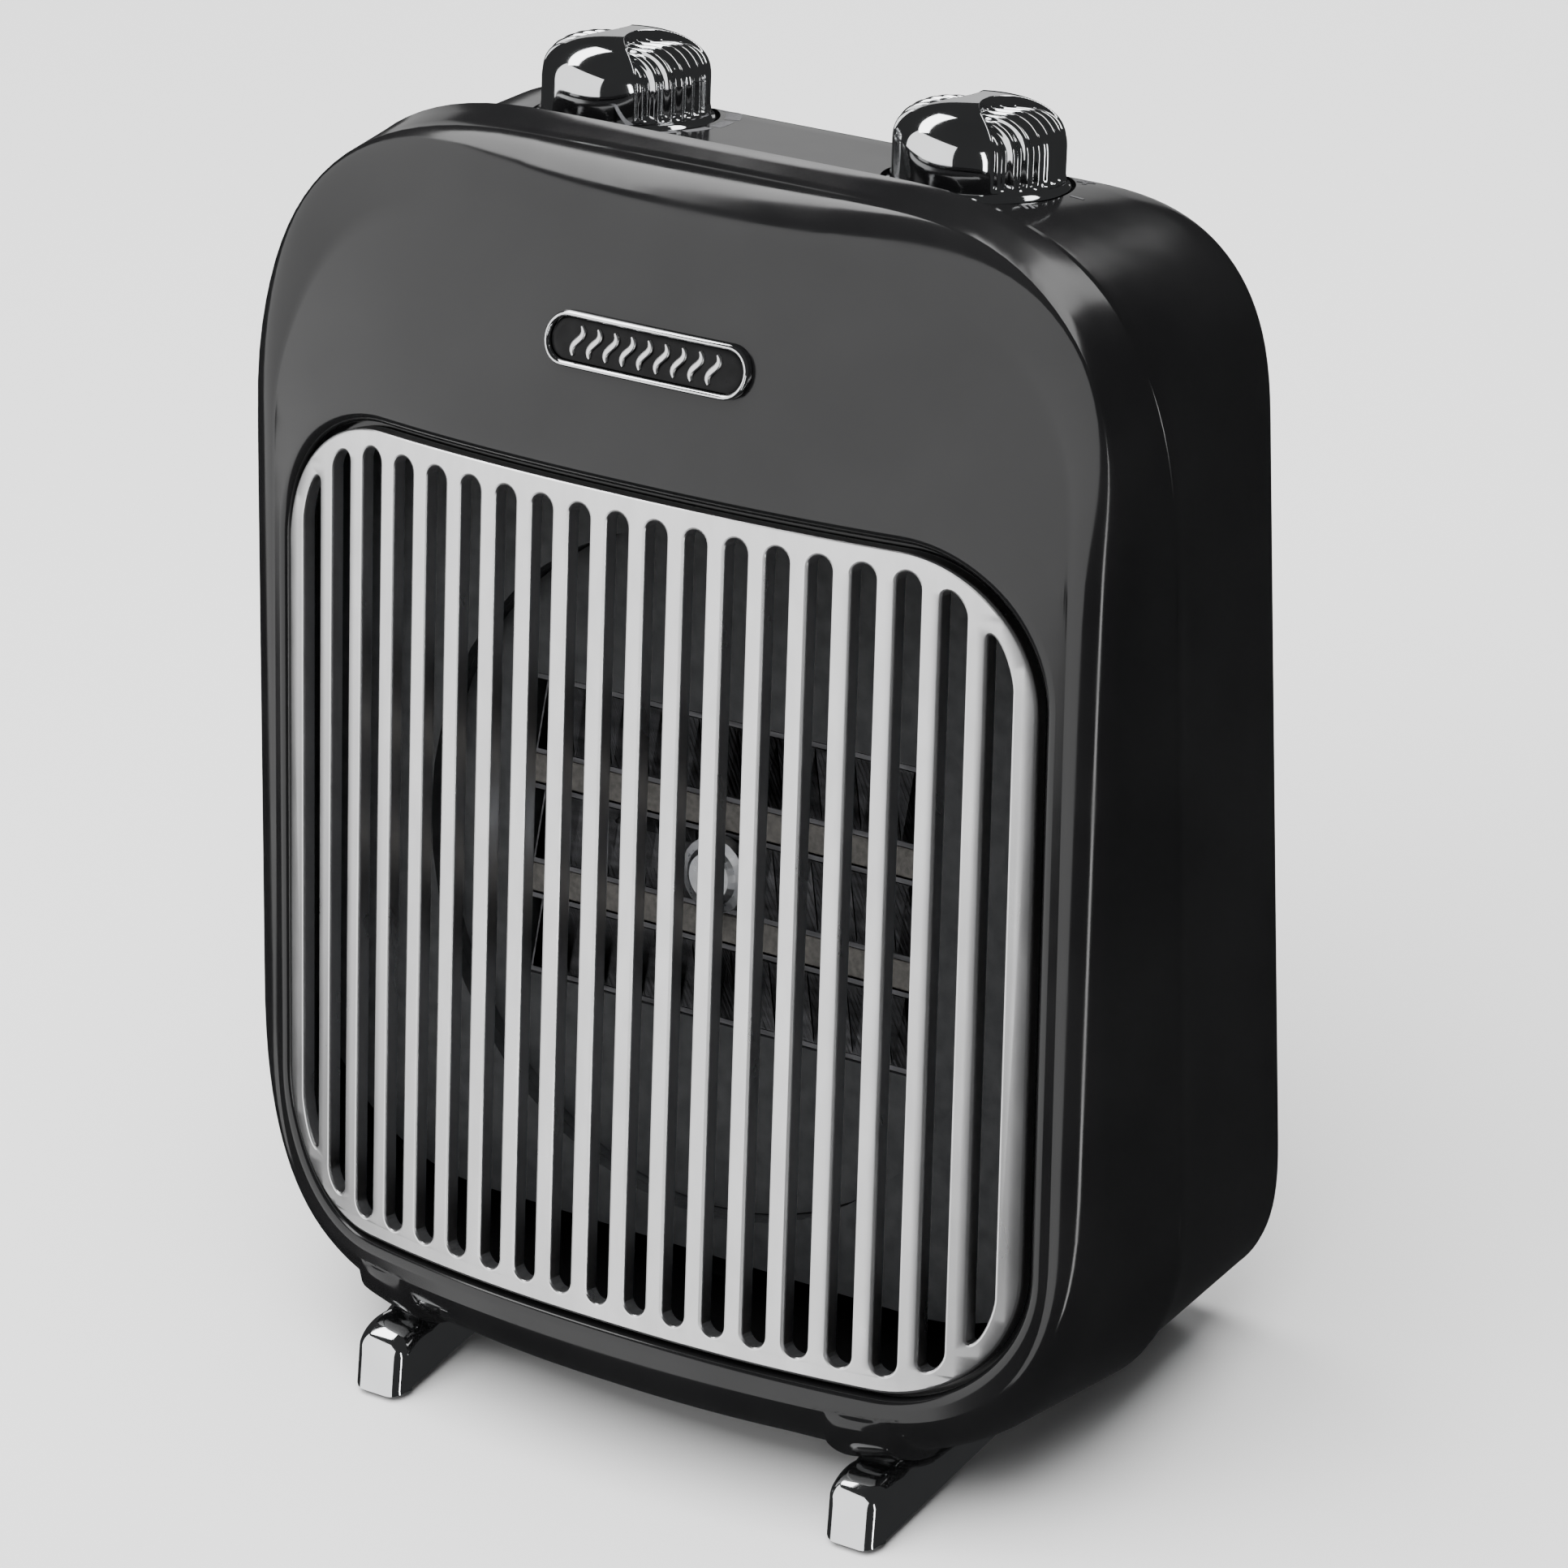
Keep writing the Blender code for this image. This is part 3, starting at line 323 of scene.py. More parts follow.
def face_y(x, z):
    """Front surface of the grille and of the fascia round it."""
    h = z / GRILLE_H
    h = h / (1 + abs(h) ** 6) ** (1 / 6)
    crown = CROWN * (abs(x) / GRILLE_W) ** CROWN_POWER * (1 - CROWN_TWIST * h)
    over = z - GRILLE_H - 0.0030
    if over > LEAN_BLEND:
        return crown + PLATE_LEAN * over
    return crown + PLATE_LEAN * max(0.0, over + LEAN_BLEND) ** 2 / (4 * LEAN_BLEND)


def on_face(points, back=0.0):
    return [(x, face_y(x, z) + back, z) for x, z in points]


def on_plane(points, y, tilt):
    return [(x, y - tilt * z, z) for x, z in points]


def on_nose(points, back=0.0):
    return [(x, NOSE_Y + back - NOSE_TURN * z * (x / CASE_W) ** 2, z) for x, z in points]


def between(a, b, t):
    """Ring part of the way between two rings."""
    return [tuple(p + (q - p) * t for p, q in zip(u, v)) for u, v in zip(a, b)]


def rolled(a, b, t):
    """Ring on a rounded edge that leaves ring a outwards and reaches ring b backwards."""
    out, deep = math.sin(t * math.pi / 2), 1 - math.cos(t * math.pi / 2)
    return [(p[0] + (q[0] - p[0]) * out, p[1] + (q[1] - p[1]) * deep,
             p[2] + (q[2] - p[2]) * out) for p, q in zip(a, b)]


def grille_edge(grow=0.0):
    r = GRILLE_CORNER + grow
    return outline(GRILLE_W + grow, GRILLE_H + grow, GRILLE_H + grow, r, r, 2.0)


# %% Rings of the fascia
def lip_rings():
    """The rolled lip, from the bottom of the gap up to the face."""
    rings = []
    for k in range(7):
        a = math.pi / 2 * k / 6
        rings.append(on_face(grille_edge(LIP_GAP + LIP_ROLL * (1 - math.cos(a))),
                             LIP_ROLL * (1 - math.sin(a))))
    return rings


def fascia_outside():
    lip = lip_rings()
    edge = on_face(outline(CASE_W - 0.0085, CASE_T - 0.0180, GRILLE_H + 0.0065,
                           CORNER_T - 0.0110, CORNER_B - 0.0100))
    nose = on_nose(outline(CASE_W, CASE_T - 0.0030, NOSE_DROP, CORNER_T, NOSE_CORNER))
    seam = on_plane(outline(CASE_W, CASE_T, CASE_B, CORNER_T, CORNER_B), SEAM_Y, SEAM_TILT)
    face = [between(lip[-1], edge, t / 14) for t in range(1, 14)]
    rings = lip + [on_face([(x, z) for x, y, z in ring]) for ring in face] + [edge]
    rings += [rolled(edge, nose, t / 16) for t in range(1, 16)]
    rings += [between(nose, seam, t / 5) for t in range(5)]
    rings.append(on_plane(outline(CASE_W, CASE_T, CASE_B, CORNER_T, CORNER_B),
                          SEAM_Y - 0.0005, SEAM_TILT))
    rings.append(on_plane(outline(CASE_W - 0.0004, CASE_T - 0.0004, CASE_B - 0.0004,
                                  CORNER_T, CORNER_B), SEAM_Y, SEAM_TILT))
    return rings


def fascia_inside():
    seat = GRILLE_THICK + 0.0003
    return [on_plane(outline(CASE_W - WALL, CASE_T - WALL, CASE_B - WALL,
                             CORNER_T - WALL, CORNER_B - WALL), SEAM_Y, SEAM_TILT),
            on_nose(outline(CASE_W - WALL, CASE_T - 0.0030 - WALL, NOSE_DROP - WALL,
                            CORNER_T - WALL, NOSE_CORNER - WALL), 0.0025),
            on_face(outline(CASE_W - 0.0070, CASE_T - 0.0200, GRILLE_H + 0.0075,
                            CORNER_T - 0.0120, CORNER_B - 0.0100), 0.0075),
            on_face(grille_edge(0.0050), seat + 0.0020),
            on_face(grille_edge(-0.0025), seat + 0.0020),
            on_face(grille_edge(-0.0025), seat),
            on_face(grille_edge(LIP_GAP), seat)]


fascia_skin = fascia_outside()
fascia = ring_up("fascia_shell", fascia_skin + fascia_inside())
stand_up(fascia)
hand_over(fascia, POLISHED_BLACK, "gloss_black", "case", "front_fascia")

# %% [markdown]
# ## Saddles over the skids
# Where each skid meets the fascia, the moulding swells into a small saddle, a little wider
# than the skid. It could be part of the big skin, but that would need far finer rings all
# round. A short separate strip that follows the skin and fades into it gives the same shape.

# %% Follow the skin's lower side and lay the saddles on it
SKID_IN, SKID_OUT = 0.0547, 0.0684
SADDLE_REACH, SADDLE_LIFT, SADDLE_DEPTH, SADDLE_STEPS = 0.0094, 0.0021, 0.0005, 44
SADDLE_FROM, SADDLE_TO = 16, 36


def soft_step(value):
    """An even ramp from 0 to 1 that starts and ends gently."""
    value = max(0.0, min(1.0, value))
    return value * value * (3 - 2 * value)


def underside(ring, x):
    """Where a ring crosses the given x on its lower side."""
    best = None
    for p, q in zip(ring, ring[1:] + ring[:1]):
        if (p[0] - x) * (q[0] - x) <= 0 and p[0] != q[0] and p[2] < 0:
            t = (x - p[0]) / (q[0] - p[0])
            best = (p[1] + (q[1] - p[1]) * t, p[2] + (q[2] - p[2]) * t)
    return best


def saddle_rings(side):
    """Cross-sections from the inner to the outer end; each is a closed strip round the roll."""
    rolls = fascia_skin[SADDLE_FROM:SADDLE_TO]
    rings = []
    for i in range(SADDLE_STEPS + 1):
        u = 2 * i / SADDLE_STEPS - 1
        x = side * ((SKID_IN + SKID_OUT) / 2 + u * SADDLE_REACH)
        swell = soft_step((1 - abs(u)) / 0.30)
        path = [underside(ring, x) for ring in rolls]
        over, under = [], []
        for j, (y, z) in enumerate(path):
            y0, z0 = path[max(0, j - 1)]
            y1, z1 = path[min(len(path) - 1, j + 1)]
            length = math.hypot(y1 - y0, z1 - z0)
            ny, nz = (z1 - z0) / length, -(y1 - y0) / length
            lift = SADDLE_LIFT * swell * soft_step((j - 2 - 4 * u * u) / 5)
            over.append((x, y + ny * lift, z + nz * lift))
            under.append((x, y - ny * SADDLE_DEPTH, z - nz * SADDLE_DEPTH))
        rings.append(over + under[::-1])
    return rings


for name, side in (("saddle_left", -1), ("saddle_right", 1)):
    saddle = ring_up(name, saddle_rings(side), closed=False, smooth=50)
    stand_up(saddle)
    hand_over(saddle, POLISHED_BLACK, "gloss_black", "case")

# %% [markdown]
# ## Rear shell
# Behind the seam the shell starts with a narrow rim, steps down to a lower deck on top, narrows
# slightly to the back and rolls over to a flat rear wall. Two round dishes in the deck take the
# knobs. They are cut with Boolean modifiers, since a dish in a ring skin would pull the rings.

# %% Rings of the rear shell
BACK_Y, BACK_TILT, BACK_ROLL = 0.0920, 0.110, 0.0050
BACK_W, BACK_T, BACK_B = 0.1010, 0.1475, 0.0852
BACK_CORNER_T, BACK_CORNER_B = 0.0430, 0.0380
DECK_STEP = 0.0032
INTAKE_W, INTAKE_T, INTAKE_B, INTAKE_R = 0.0720, 0.0760, 0.0620, 0.0200
GAP = 0.0003


def shell_ring(shrink, deck, y):
    """An outline of the shell near the seam, with its top lowered by deck."""
    return on_plane(outline(CASE_W - shrink, CASE_T - shrink - deck, CASE_B - shrink,
                            CORNER_T - 0.6 * deck, CORNER_B), SEAM_Y + GAP + y, SEAM_TILT)


def back_ring(shrink, y):
    return on_plane(outline(BACK_W - shrink, BACK_T - shrink, BACK_B - shrink,
                            BACK_CORNER_T - shrink, BACK_CORNER_B - shrink), y, BACK_TILT)


def shell_outside():
    rings = [shell_ring(0.0010, 0.0, 0.0), shell_ring(0.0006, 0.0, 0.0004),
             shell_ring(0.0006, 0.0003, 0.0022), shell_ring(0.0008, 0.0007, 0.0027),
             shell_ring(0.0010, 0.0024, 0.0032), shell_ring(0.0012, 0.0031, 0.0036),
             shell_ring(0.0014, DECK_STEP - 0.0006, 0.0042)]
    start, full = rings[-1], back_ring(0.0, BACK_Y - BACK_ROLL)
    rings += [between(start, full, t / 10) for t in range(1, 11)]
    for k in range(1, 8):
        a = math.pi / 2 * k / 7
        rings.append(back_ring(BACK_ROLL * (1 - math.cos(a)),
                               BACK_Y - BACK_ROLL + BACK_ROLL * math.sin(a)))
    return rings


def shell_inside():
    intake = outline(INTAKE_W, INTAKE_T, INTAKE_B, INTAKE_R, INTAKE_R, 2.0)
    return [on_plane(intake, BACK_Y, BACK_TILT), on_plane(intake, BACK_Y - WALL, BACK_TILT),
            back_ring(0.0080, BACK_Y - WALL), back_ring(0.0042, BACK_Y - BACK_ROLL - 0.0020),
            shell_ring(0.0014 + WALL, DECK_STEP + 0.0012, 0.0042),
            shell_ring(0.0006 + WALL, 0.0015, 0.0)]


shell = ring_up("rear_case", shell_outside() + shell_inside())

# %% Cut the dishes, the stem holes and the plunger's hole
KNOB_X, KNOB_Y, KNOB_SEAT, KNOB_R = 0.0440, 0.0553, 0.1460, 0.0180
TIP_PLACE = (-0.0400, 0.0700, -0.0880)


def cut_round(piece, radius, low, high, x, y, tilt=0.0):
    """Take a round plug out of a part, for good."""
    bpy.ops.object.select_all(action="DESELECT")
    bpy.ops.mesh.primitive_cylinder_add(vertices=96, radius=radius, depth=high - low,
                                        location=(x, y, (low + high) / 2), rotation=(tilt, 0, 0))
    plug = bpy.context.object
    only(piece)
    bpy.ops.object.modifier_add(type="BOOLEAN")
    cutting = piece.modifiers[-1]
    cutting.operation = "DIFFERENCE"
    cutting.solver = "EXACT"
    cutting.object = plug
    bpy.ops.object.modifier_apply(modifier=cutting.name)
    bpy.data.objects.remove(plug, do_unlink=True)


for side in (-1, 1):
    cut_round(shell, KNOB_R + 0.0012, KNOB_SEAT - GAP, 0.160, side * KNOB_X, KNOB_Y)
    cut_round(shell, 0.0045, 0.133, 0.160, side * KNOB_X, KNOB_Y)
cut_round(shell, 0.0045, TIP_PLACE[2] - 0.012, TIP_PLACE[2] + 0.012,
          TIP_PLACE[0], TIP_PLACE[1], LEAN)
only(shell)
bpy.ops.object.shade_smooth_by_angle(angle=math.radians(30))
stand_up(shell)
hand_over(shell, POLISHED_BLACK, "gloss_black", "case", "rear_shell")

# %% [markdown]
# ## Slotted plates
# The front grille and the rear intake are plates with rows of slots. A filled flat curve
# takes any number of holes, and its own bevel rounds every edge alike, which a Bevel modifier
# can't do as evenly between narrow bars. The curve becomes a mesh, is bisected along upright
# lines where it has to bend, and is then laid on its curved or flat surface.

# %% Make a plate from flat loops
def slotted_plate(name, edge, slots, thick, ease, lift, folds):
    """A plate with eased edges: lift(x, z) gives the y of its front."""
    drawing = bpy.data.curves.new(name, "CURVE")
    drawing.dimensions = "2D"
    drawing.fill_mode = "BOTH"
    drawing.extrude = thick / 2 - ease
    drawing.bevel_depth = ease
    drawing.bevel_resolution = 2
    drawing.offset = -ease
    for loop in [edge] + slots:
        line = drawing.splines.new("POLY")
        line.points.add(len(loop) - 1)
        for point, (x, z) in zip(line.points, loop):
            point.co = (x, z, 0, 1)
        line.use_cyclic_u = True
    plate = bpy.data.objects.new(name, drawing)
    bpy.context.scene.collection.objects.link(plate)
    only(plate)
    bpy.ops.object.convert(target="MESH")
    plate = bpy.context.object
    bpy.ops.object.mode_set(mode="EDIT")
    bpy.ops.mesh.select_all(action="SELECT")
    bpy.ops.mesh.remove_doubles(threshold=0.000001)
    for x in folds:
        bpy.ops.mesh.select_all(action="SELECT")
        bpy.ops.mesh.bisect(plane_co=(x, 0, 0), plane_no=(1, 0, 0))
    bpy.ops.mesh.select_all(action="SELECT")
    bpy.ops.mesh.normals_make_consistent(inside=False)
    bpy.ops.object.mode_set(mode="OBJECT")
    for vert in plate.data.vertices:
        x, z, h = vert.co
        vert.co = (x, lift(x, z) + thick / 2 - h, z)
    bpy.ops.object.shade_smooth_by_angle(angle=math.radians(14))
    return plate


def pill_loop(x, low, high, r, steps=8):
    """A long upright loop with round ends; low and high are the centres of the ends."""
    top = [(x + r * math.cos(math.pi * (1 - j / steps)),
            high + r * math.sin(math.pi * (1 - j / steps))) for j in range(steps + 1)]
    bottom = [(x + r * math.cos(math.pi * j / steps),
               low - r * math.sin(math.pi * j / steps)) for j in range(steps + 1)]
    return top + bottom


# %% [markdown]
# The front grille has nineteen slots. The outer ones get shorter, since they keep the same
# margin to the rounded corner.

# %% Front grille
SLOTS, SLOT_PITCH, SLOT_W, SLOT_MARGIN = 19, 0.0096, 0.0054, 0.0037


def slot_loop(index):
    """One upright slot whose ends follow the grille's corner."""
    mid = (index - (SLOTS - 1) / 2) * SLOT_PITCH
    r = SLOT_W / 2
    rim = GRILLE_CORNER - SLOT_MARGIN
    top, bottom = [], []
    for j in range(13):
        a = math.pi * (1 - j / 12)
        x = mid + r * math.cos(a)
        over = max(0.0, abs(x) - (GRILLE_W - GRILLE_CORNER))
        drop = rim - math.sqrt(max(0.0, rim * rim - over * over))
        z = GRILLE_H - SLOT_MARGIN - drop - r + r * math.sin(a)
        top.append((x, z))
        bottom.append((x, -z))
    return top + bottom[::-1]


grille_folds = [(i - SLOTS) * SLOT_PITCH / 2 for i in range(2 * SLOTS + 1)]
grille = slotted_plate("grille_face", grille_edge(), [slot_loop(i) for i in range(SLOTS)],
                       GRILLE_THICK, 0.0006, face_y, grille_folds)
stand_up(grille)
hand_over(grille, SATIN_METAL, "satin_metal", "case", "front_grille")

# %% Rear intake grille
VENT_ROWS, VENT_COLS, VENT_PITCH, VENT_H, VENT_W, VENT_RIB = 12, 3, 0.0100, 0.0054, 0.0380, 0.0046
vent_mid = (INTAKE_T - INTAKE_B) / 2
vents = []
for row in range(VENT_ROWS):
    for col in range(VENT_COLS):
        x = (col - (VENT_COLS - 1) / 2) * (VENT_W + VENT_RIB)
        z = vent_mid + (row - (VENT_ROWS - 1) / 2) * VENT_PITCH
        reach = (VENT_W - VENT_H) / 2
        vents.append([(x + b - z, a - x + z)
                      for a, b in pill_loop(x, z - reach, z + reach, VENT_H / 2, 6)])
intake = slotted_plate("intake_face",
                       outline(INTAKE_W - GAP, INTAKE_T - GAP, INTAKE_B - GAP, INTAKE_R,
                               INTAKE_R, 2.0),
                       vents, WALL, 0.0004, lambda x, z: BACK_Y - WALL - BACK_TILT * z, [])
stand_up(intake)
hand_over(intake, DARK_MOULDING, "dark_moulding", "case", "intake_grille")

# %% [markdown]
# ## Control knobs
# Each knob is a chromed dome. A smooth band runs over it from front to back, narrow in the
# middle, and on both sides of the band the top is scooped out and fluted. The flutes run over
# the shoulder and down to a plain flange. The knob is first a turned profile; then every
# point sinks by a small amount that depends on its place, as a sculptor would press it in.

# %% Shape of one knob
KNOB_H, KNOB_DOME, KNOB_SIDE, KNOB_ROUND = 0.0186, 0.0098, 0.0173, 2.5
FLUTE_PITCH, FLUTE_REACH, FLUTE_DEPTH, SCOOP = 0.0029, 0.0130, 0.00115, 0.0019
CROWN_STEPS, KNOB_AROUND = 96, 480


def knob_sink(x, y, h):
    """How far the surface lies below the plain dome, in metres."""
    band = 0.0020 + 0.0110 * (abs(y) / FLUTE_REACH) ** 2.4
    inside = soft_step((abs(x) - band) / 0.0011) * soft_step((h - 0.0030) / 0.0008)
    scoop = SCOOP * (1 - soft_step((abs(x) - 0.0030) / 0.0110)) + 0.0001
    flute = 0.5 - 0.5 * math.cos(2 * math.pi * y / FLUTE_PITCH)
    start = soft_step((abs(x) - band - 0.0002) / 0.0012)
    return inside * (scoop + FLUTE_DEPTH * flute ** 1.2 * start)


def knob_profile():
    """(radius, height, lean of the surface from upright) from the crown down to the foot."""
    spots = []
    for k in range(1, CROWN_STEPS + 1):
        a = math.pi / 2 * k / CROWN_STEPS
        r = KNOB_SIDE * math.sin(a) ** (2 / KNOB_ROUND)
        h = KNOB_H - KNOB_DOME + KNOB_DOME * max(0.0, math.cos(a)) ** (2 / KNOB_ROUND)
        spots.append((r, h, math.pi / 2 - a))
    for h in (0.0075, 0.0060, 0.0045, 0.0038, 0.0034, 0.0031, 0.0028, 0.0024):
        spots.append((KNOB_SIDE, h, 0.0))
    for r, h in ((0.01745, 0.0020), (0.01800, 0.0017), (0.01832, 0.0014), (0.01840, 0.0011),
                 (0.01840, 0.0002), (0.01820, 0.0), (0.01600, 0.0)):
        spots.append((r, h, 0.0))
    return spots


def knob_rings(x0, y0, z0):
    rings = []
    for r, h, lean in knob_profile():
        ring = []
        for j in range(KNOB_AROUND):
            a = 2 * math.pi * j / KNOB_AROUND
            x, y = r * math.cos(a), r * math.sin(a)
            sink = knob_sink(x, y, h)
            inward = sink * math.cos(lean)
            ring.append((x0 + x - inward * math.cos(a), y0 + y - inward * math.sin(a),
                         z0 + h - sink * math.sin(lean)))
        rings.append(ring)
    return rings


# %% Set both knobs on the deck
for name, body, side, nodes in (("thermostat_dial_knob", "thermostat_dial", -1, "thermostat_knob"),
                                ("mode_dial_knob", "mode_dial", 1, "mode_knob")):
    knob = ring_up(name, knob_rings(side * KNOB_X, KNOB_Y, KNOB_SEAT), closed=False, smooth=60)
    stand_up(knob)
    hand_over(knob, CHROME, "chrome", body, nodes)

# %% [markdown]
# ## Printed scales on the deck
# Beside the left knob an arc of growing blocks shows rising heat. Beside the right one there
# are marks for fan only, low heat and high heat. Ink has almost no thickness, so each mark is
# a flat mesh that a Shrinkwrap modifier lays on the deck and a Solidify modifier gives a
# twentieth of a millimetre.

# %% Draw the marks flat and lay them on the deck
MARK_HEIGHT = 0.156


def flat_mark(corners):
    """A flat shape above the deck, from a circle laid on its corners."""
    bpy.ops.object.select_all(action="DESELECT")
    bpy.ops.mesh.primitive_circle_add(vertices=len(corners), radius=0.01, fill_type="NGON")
    mark = bpy.context.object
    for vert, (x, y) in zip(mark.data.vertices, corners):
        vert.co = (x, y, MARK_HEIGHT)
    return mark


def arc_block(x0, y0, inner, outer, start, end, steps=5):
    """A block of an arc round a knob; angles in degrees from the right, towards the back."""
    turns = [math.radians(start + (end - start) * j / steps) for j in range(steps + 1)]
    return ([(x0 + inner * math.cos(a), y0 + inner * math.sin(a)) for a in turns]
            + [(x0 + outer * math.cos(a), y0 + outer * math.sin(a)) for a in turns[::-1]])


def bar_block(x0, y0, distance, angle, long, wide, shift=0.0):
    """A short straight bar that points away from a knob."""
    a = math.radians(angle)
    along, across = Vector((math.cos(a), math.sin(a))), Vector((-math.sin(a), math.cos(a)))
    mid = Vector((x0, y0)) + along * distance + across * shift
    return [tuple(mid + along * u * long / 2 + across * v * wide / 2)
            for u, v in ((-1, -1), (1, -1), (1, 1), (-1, 1))]


def lay_marks(name, shapes):
    """Join flat marks, lay them on the deck and give them the thickness of ink."""
    marks = [flat_mark(corners) for corners in shapes]
    bpy.ops.object.select_all(action="DESELECT")
    for mark in marks:
        mark.select_set(True)
    bpy.context.view_layer.objects.active = marks[0]
    bpy.ops.object.join()
    scale = bpy.context.object
    scale.name = scale.data.name = name
    stand_up(scale)
    bpy.ops.object.modifier_add(type="SHRINKWRAP")
    laying = scale.modifiers[-1]
    laying.target = shell
    laying.wrap_method = "NEAREST_SURFACEPOINT"
    laying.wrap_mode = "ABOVE_SURFACE"
    laying.offset = 0.00004
    bpy.ops.object.modifier_apply(modifier=laying.name)
    bpy.ops.object.modifier_add(type="SOLIDIFY")
    inking = scale.modifiers[-1]
    inking.thickness = 0.00005
    inking.offset = 1.0
    bpy.ops.object.modifier_apply(modifier=inking.name)
    bpy.ops.object.mode_set(mode="EDIT")
    bpy.ops.mesh.select_all(action="SELECT")
    bpy.ops.mesh.normals_make_consistent(inside=False)
    bpy.ops.object.mode_set(mode="OBJECT")
    return scale


heat_blocks = [arc_block(-KNOB_X, KNOB_Y, 0.0204, 0.0212 + 0.0006 * k, -62 + 22 * k, -44 + 22 * k)
               for k in range(6)]
heat_scale = lay_marks("heat_scale", heat_blocks)
hand_over(heat_scale, SCALE_INK, "dark_moulding", "case")

fan_turns = [bar_block(KNOB_X + 0.0215 * math.cos(0.75), KNOB_Y + 0.0215 * math.sin(0.75),
                       0.0011, 90 * k + 20, 0.0017, 0.0009) for k in range(4)]
mode_scale = lay_marks("mode_scale", fan_turns + [
    bar_block(KNOB_X, KNOB_Y, 0.0225, 8, 0.0030, 0.0006),
    bar_block(KNOB_X, KNOB_Y, 0.0222, -26, 0.0030, 0.0006, 0.0007),
    bar_block(KNOB_X, KNOB_Y, 0.0222, -26, 0.0030, 0.0006, -0.0007)])
hand_over(mode_scale, SCALE_INK, "dark_moulding", "case")

# %% [markdown]
# ## Badge
# The badge is a long chrome rim round a black field. Its emblem is a plain row of rising heat
# waves. The rim is a rounded section taken once round the pill, and a wave is a section taken
# along a curve. Each wave is made in its own place, since the fascia curves under the row.

# %% Badge rim and field
BADGE_X, BADGE_Z, BADGE_W, BADGE_R = 0.0020, 0.1140, 0.0252, 0.0054


def badge_pill(shrink, depth, steps=16):
    """The badge's outline, made smaller, at a height above the fascia."""
    r, half = BADGE_R - shrink, BADGE_W - BADGE_R
    loop = [(BADGE_X + half + r * math.cos(a), BADGE_Z + r * math.sin(a))
            for a in [math.pi / 2 - math.pi * j / steps for j in range(steps + 1)]]
    loop += [(BADGE_X + half * (1 - j / 6), BADGE_Z - r) for j in range(1, 12)]
    loop += [(BADGE_X - half + r * math.cos(a), BADGE_Z + r * math.sin(a))
             for a in [-math.pi / 2 - math.pi * j / steps for j in range(steps + 1)]]
    loop += [(BADGE_X - half * (1 - j / 6), BADGE_Z + r) for j in range(1, 12)]
    return on_face(loop, -depth)


rim_section = [(0.0, GAP), (0.0, 0.0011)]
rim_section += [(0.0006 - 0.0006 * math.cos(a), 0.0011 + 0.0008 * math.sin(a))
                for a in [math.pi * k / 8 for k in range(1, 8)]]
rim_section += [(0.0012, 0.0011), (0.0012, GAP)]
badge_rim = ring_up("badge_frame", [badge_pill(s, d) for s, d in rim_section], smooth=50)
stand_up(badge_rim)
hand_over(badge_rim, CHROME, "chrome", "case", "badge_rim")

field_section = [(0.0022, GAP), (0.0014, GAP), (0.0014, 0.0008), (0.0018, 0.0010), (0.0030, 0.0011)]
badge_field = ring_up("badge_field", [badge_pill(s, d) for s, d in field_section],
                      closed=False, smooth=50)
stand_up(badge_field)
hand_over(badge_field, ENAMEL_BLACK, "dark_moulding", "case", "badge_plate")

# %% Heat waves of the emblem
WAVES, WAVE_PITCH, WAVE_LIFT = 9, 0.0042, 0.00112
WAVE_HALF, WAVE_SWAY, WAVE_SLANT, WAVE_TURN = 0.0029, 0.00085, 0.0004, 0.95


def wave_rings(mid, steps=26):
    """Round sections along one S-shaped stroke, thinner towards its tips."""
    rings = []
    for i in range(steps + 1):
        u = 2 * i / steps - 1
        turn = u * math.pi * WAVE_TURN
        z = BADGE_Z + u * WAVE_HALF
        x = mid + WAVE_SWAY * math.sin(turn) + u * WAVE_SLANT
        slope = WAVE_SWAY * math.pi * WAVE_TURN * math.cos(turn) + WAVE_SLANT
        length = math.hypot(slope, WAVE_HALF)
        nx, nz = WAVE_HALF / length, -slope / length
        half = 0.00078 * (1 - 0.55 * abs(u) ** 3)
        ring = []
        for j in range(12):
            a = 2 * math.pi * j / 12
            across, up = half * math.cos(a), 0.00042 * math.sin(a)
            px, pz = x + nx * across, z + nz * across
            ring.append((px, face_y(px, pz) - WAVE_LIFT - up, pz))
        rings.append(ring)
    return rings


waves = [ring_up("wave", wave_rings(BADGE_X + (k - (WAVES - 1) / 2) * WAVE_PITCH), closed=False,
                 smooth=60) for k in range(WAVES)]
bpy.ops.object.select_all(action="DESELECT")
for wave in waves:
    wave.select_set(True)
bpy.context.view_layer.objects.active = waves[0]
bpy.ops.object.join()
emblem = bpy.context.object
emblem.name = emblem.data.name = "badge_waves"
stand_up(emblem)
hand_over(emblem, SATIN_METAL, "satin_metal", "case")

# %% [markdown]
# ## Chrome skids
# A skid is a solid runner with a flat sole, a round nose and a back that hugs the case. Its
# side view is drawn once as a closed loop. A Bevel modifier can't round its long edges well,
# since the short steps of the nose hold the bevel back. So rings are laid across the width,
# and the loop is drawn a little smaller towards both flanks, which gives round shoulders.

# %% Side view of a skid
SKID_NOSE, SKID_END, PAD_H = 0.0046, 0.1000, 0.0010
SKID_SLACK = 0.0009
NOSE_FRONT, NOSE_DEEP, NOSE_TALL = -0.1110, 0.0092, 0.0061
sole = PAD_H + GAP
shell_skin = shell_outside()


def floor_z(y, height):
    """Level in the upright drawing at a height above the floor."""
    return (height - FLOOR_DROP + y * math.sin(LEAN)) / math.cos(LEAN)


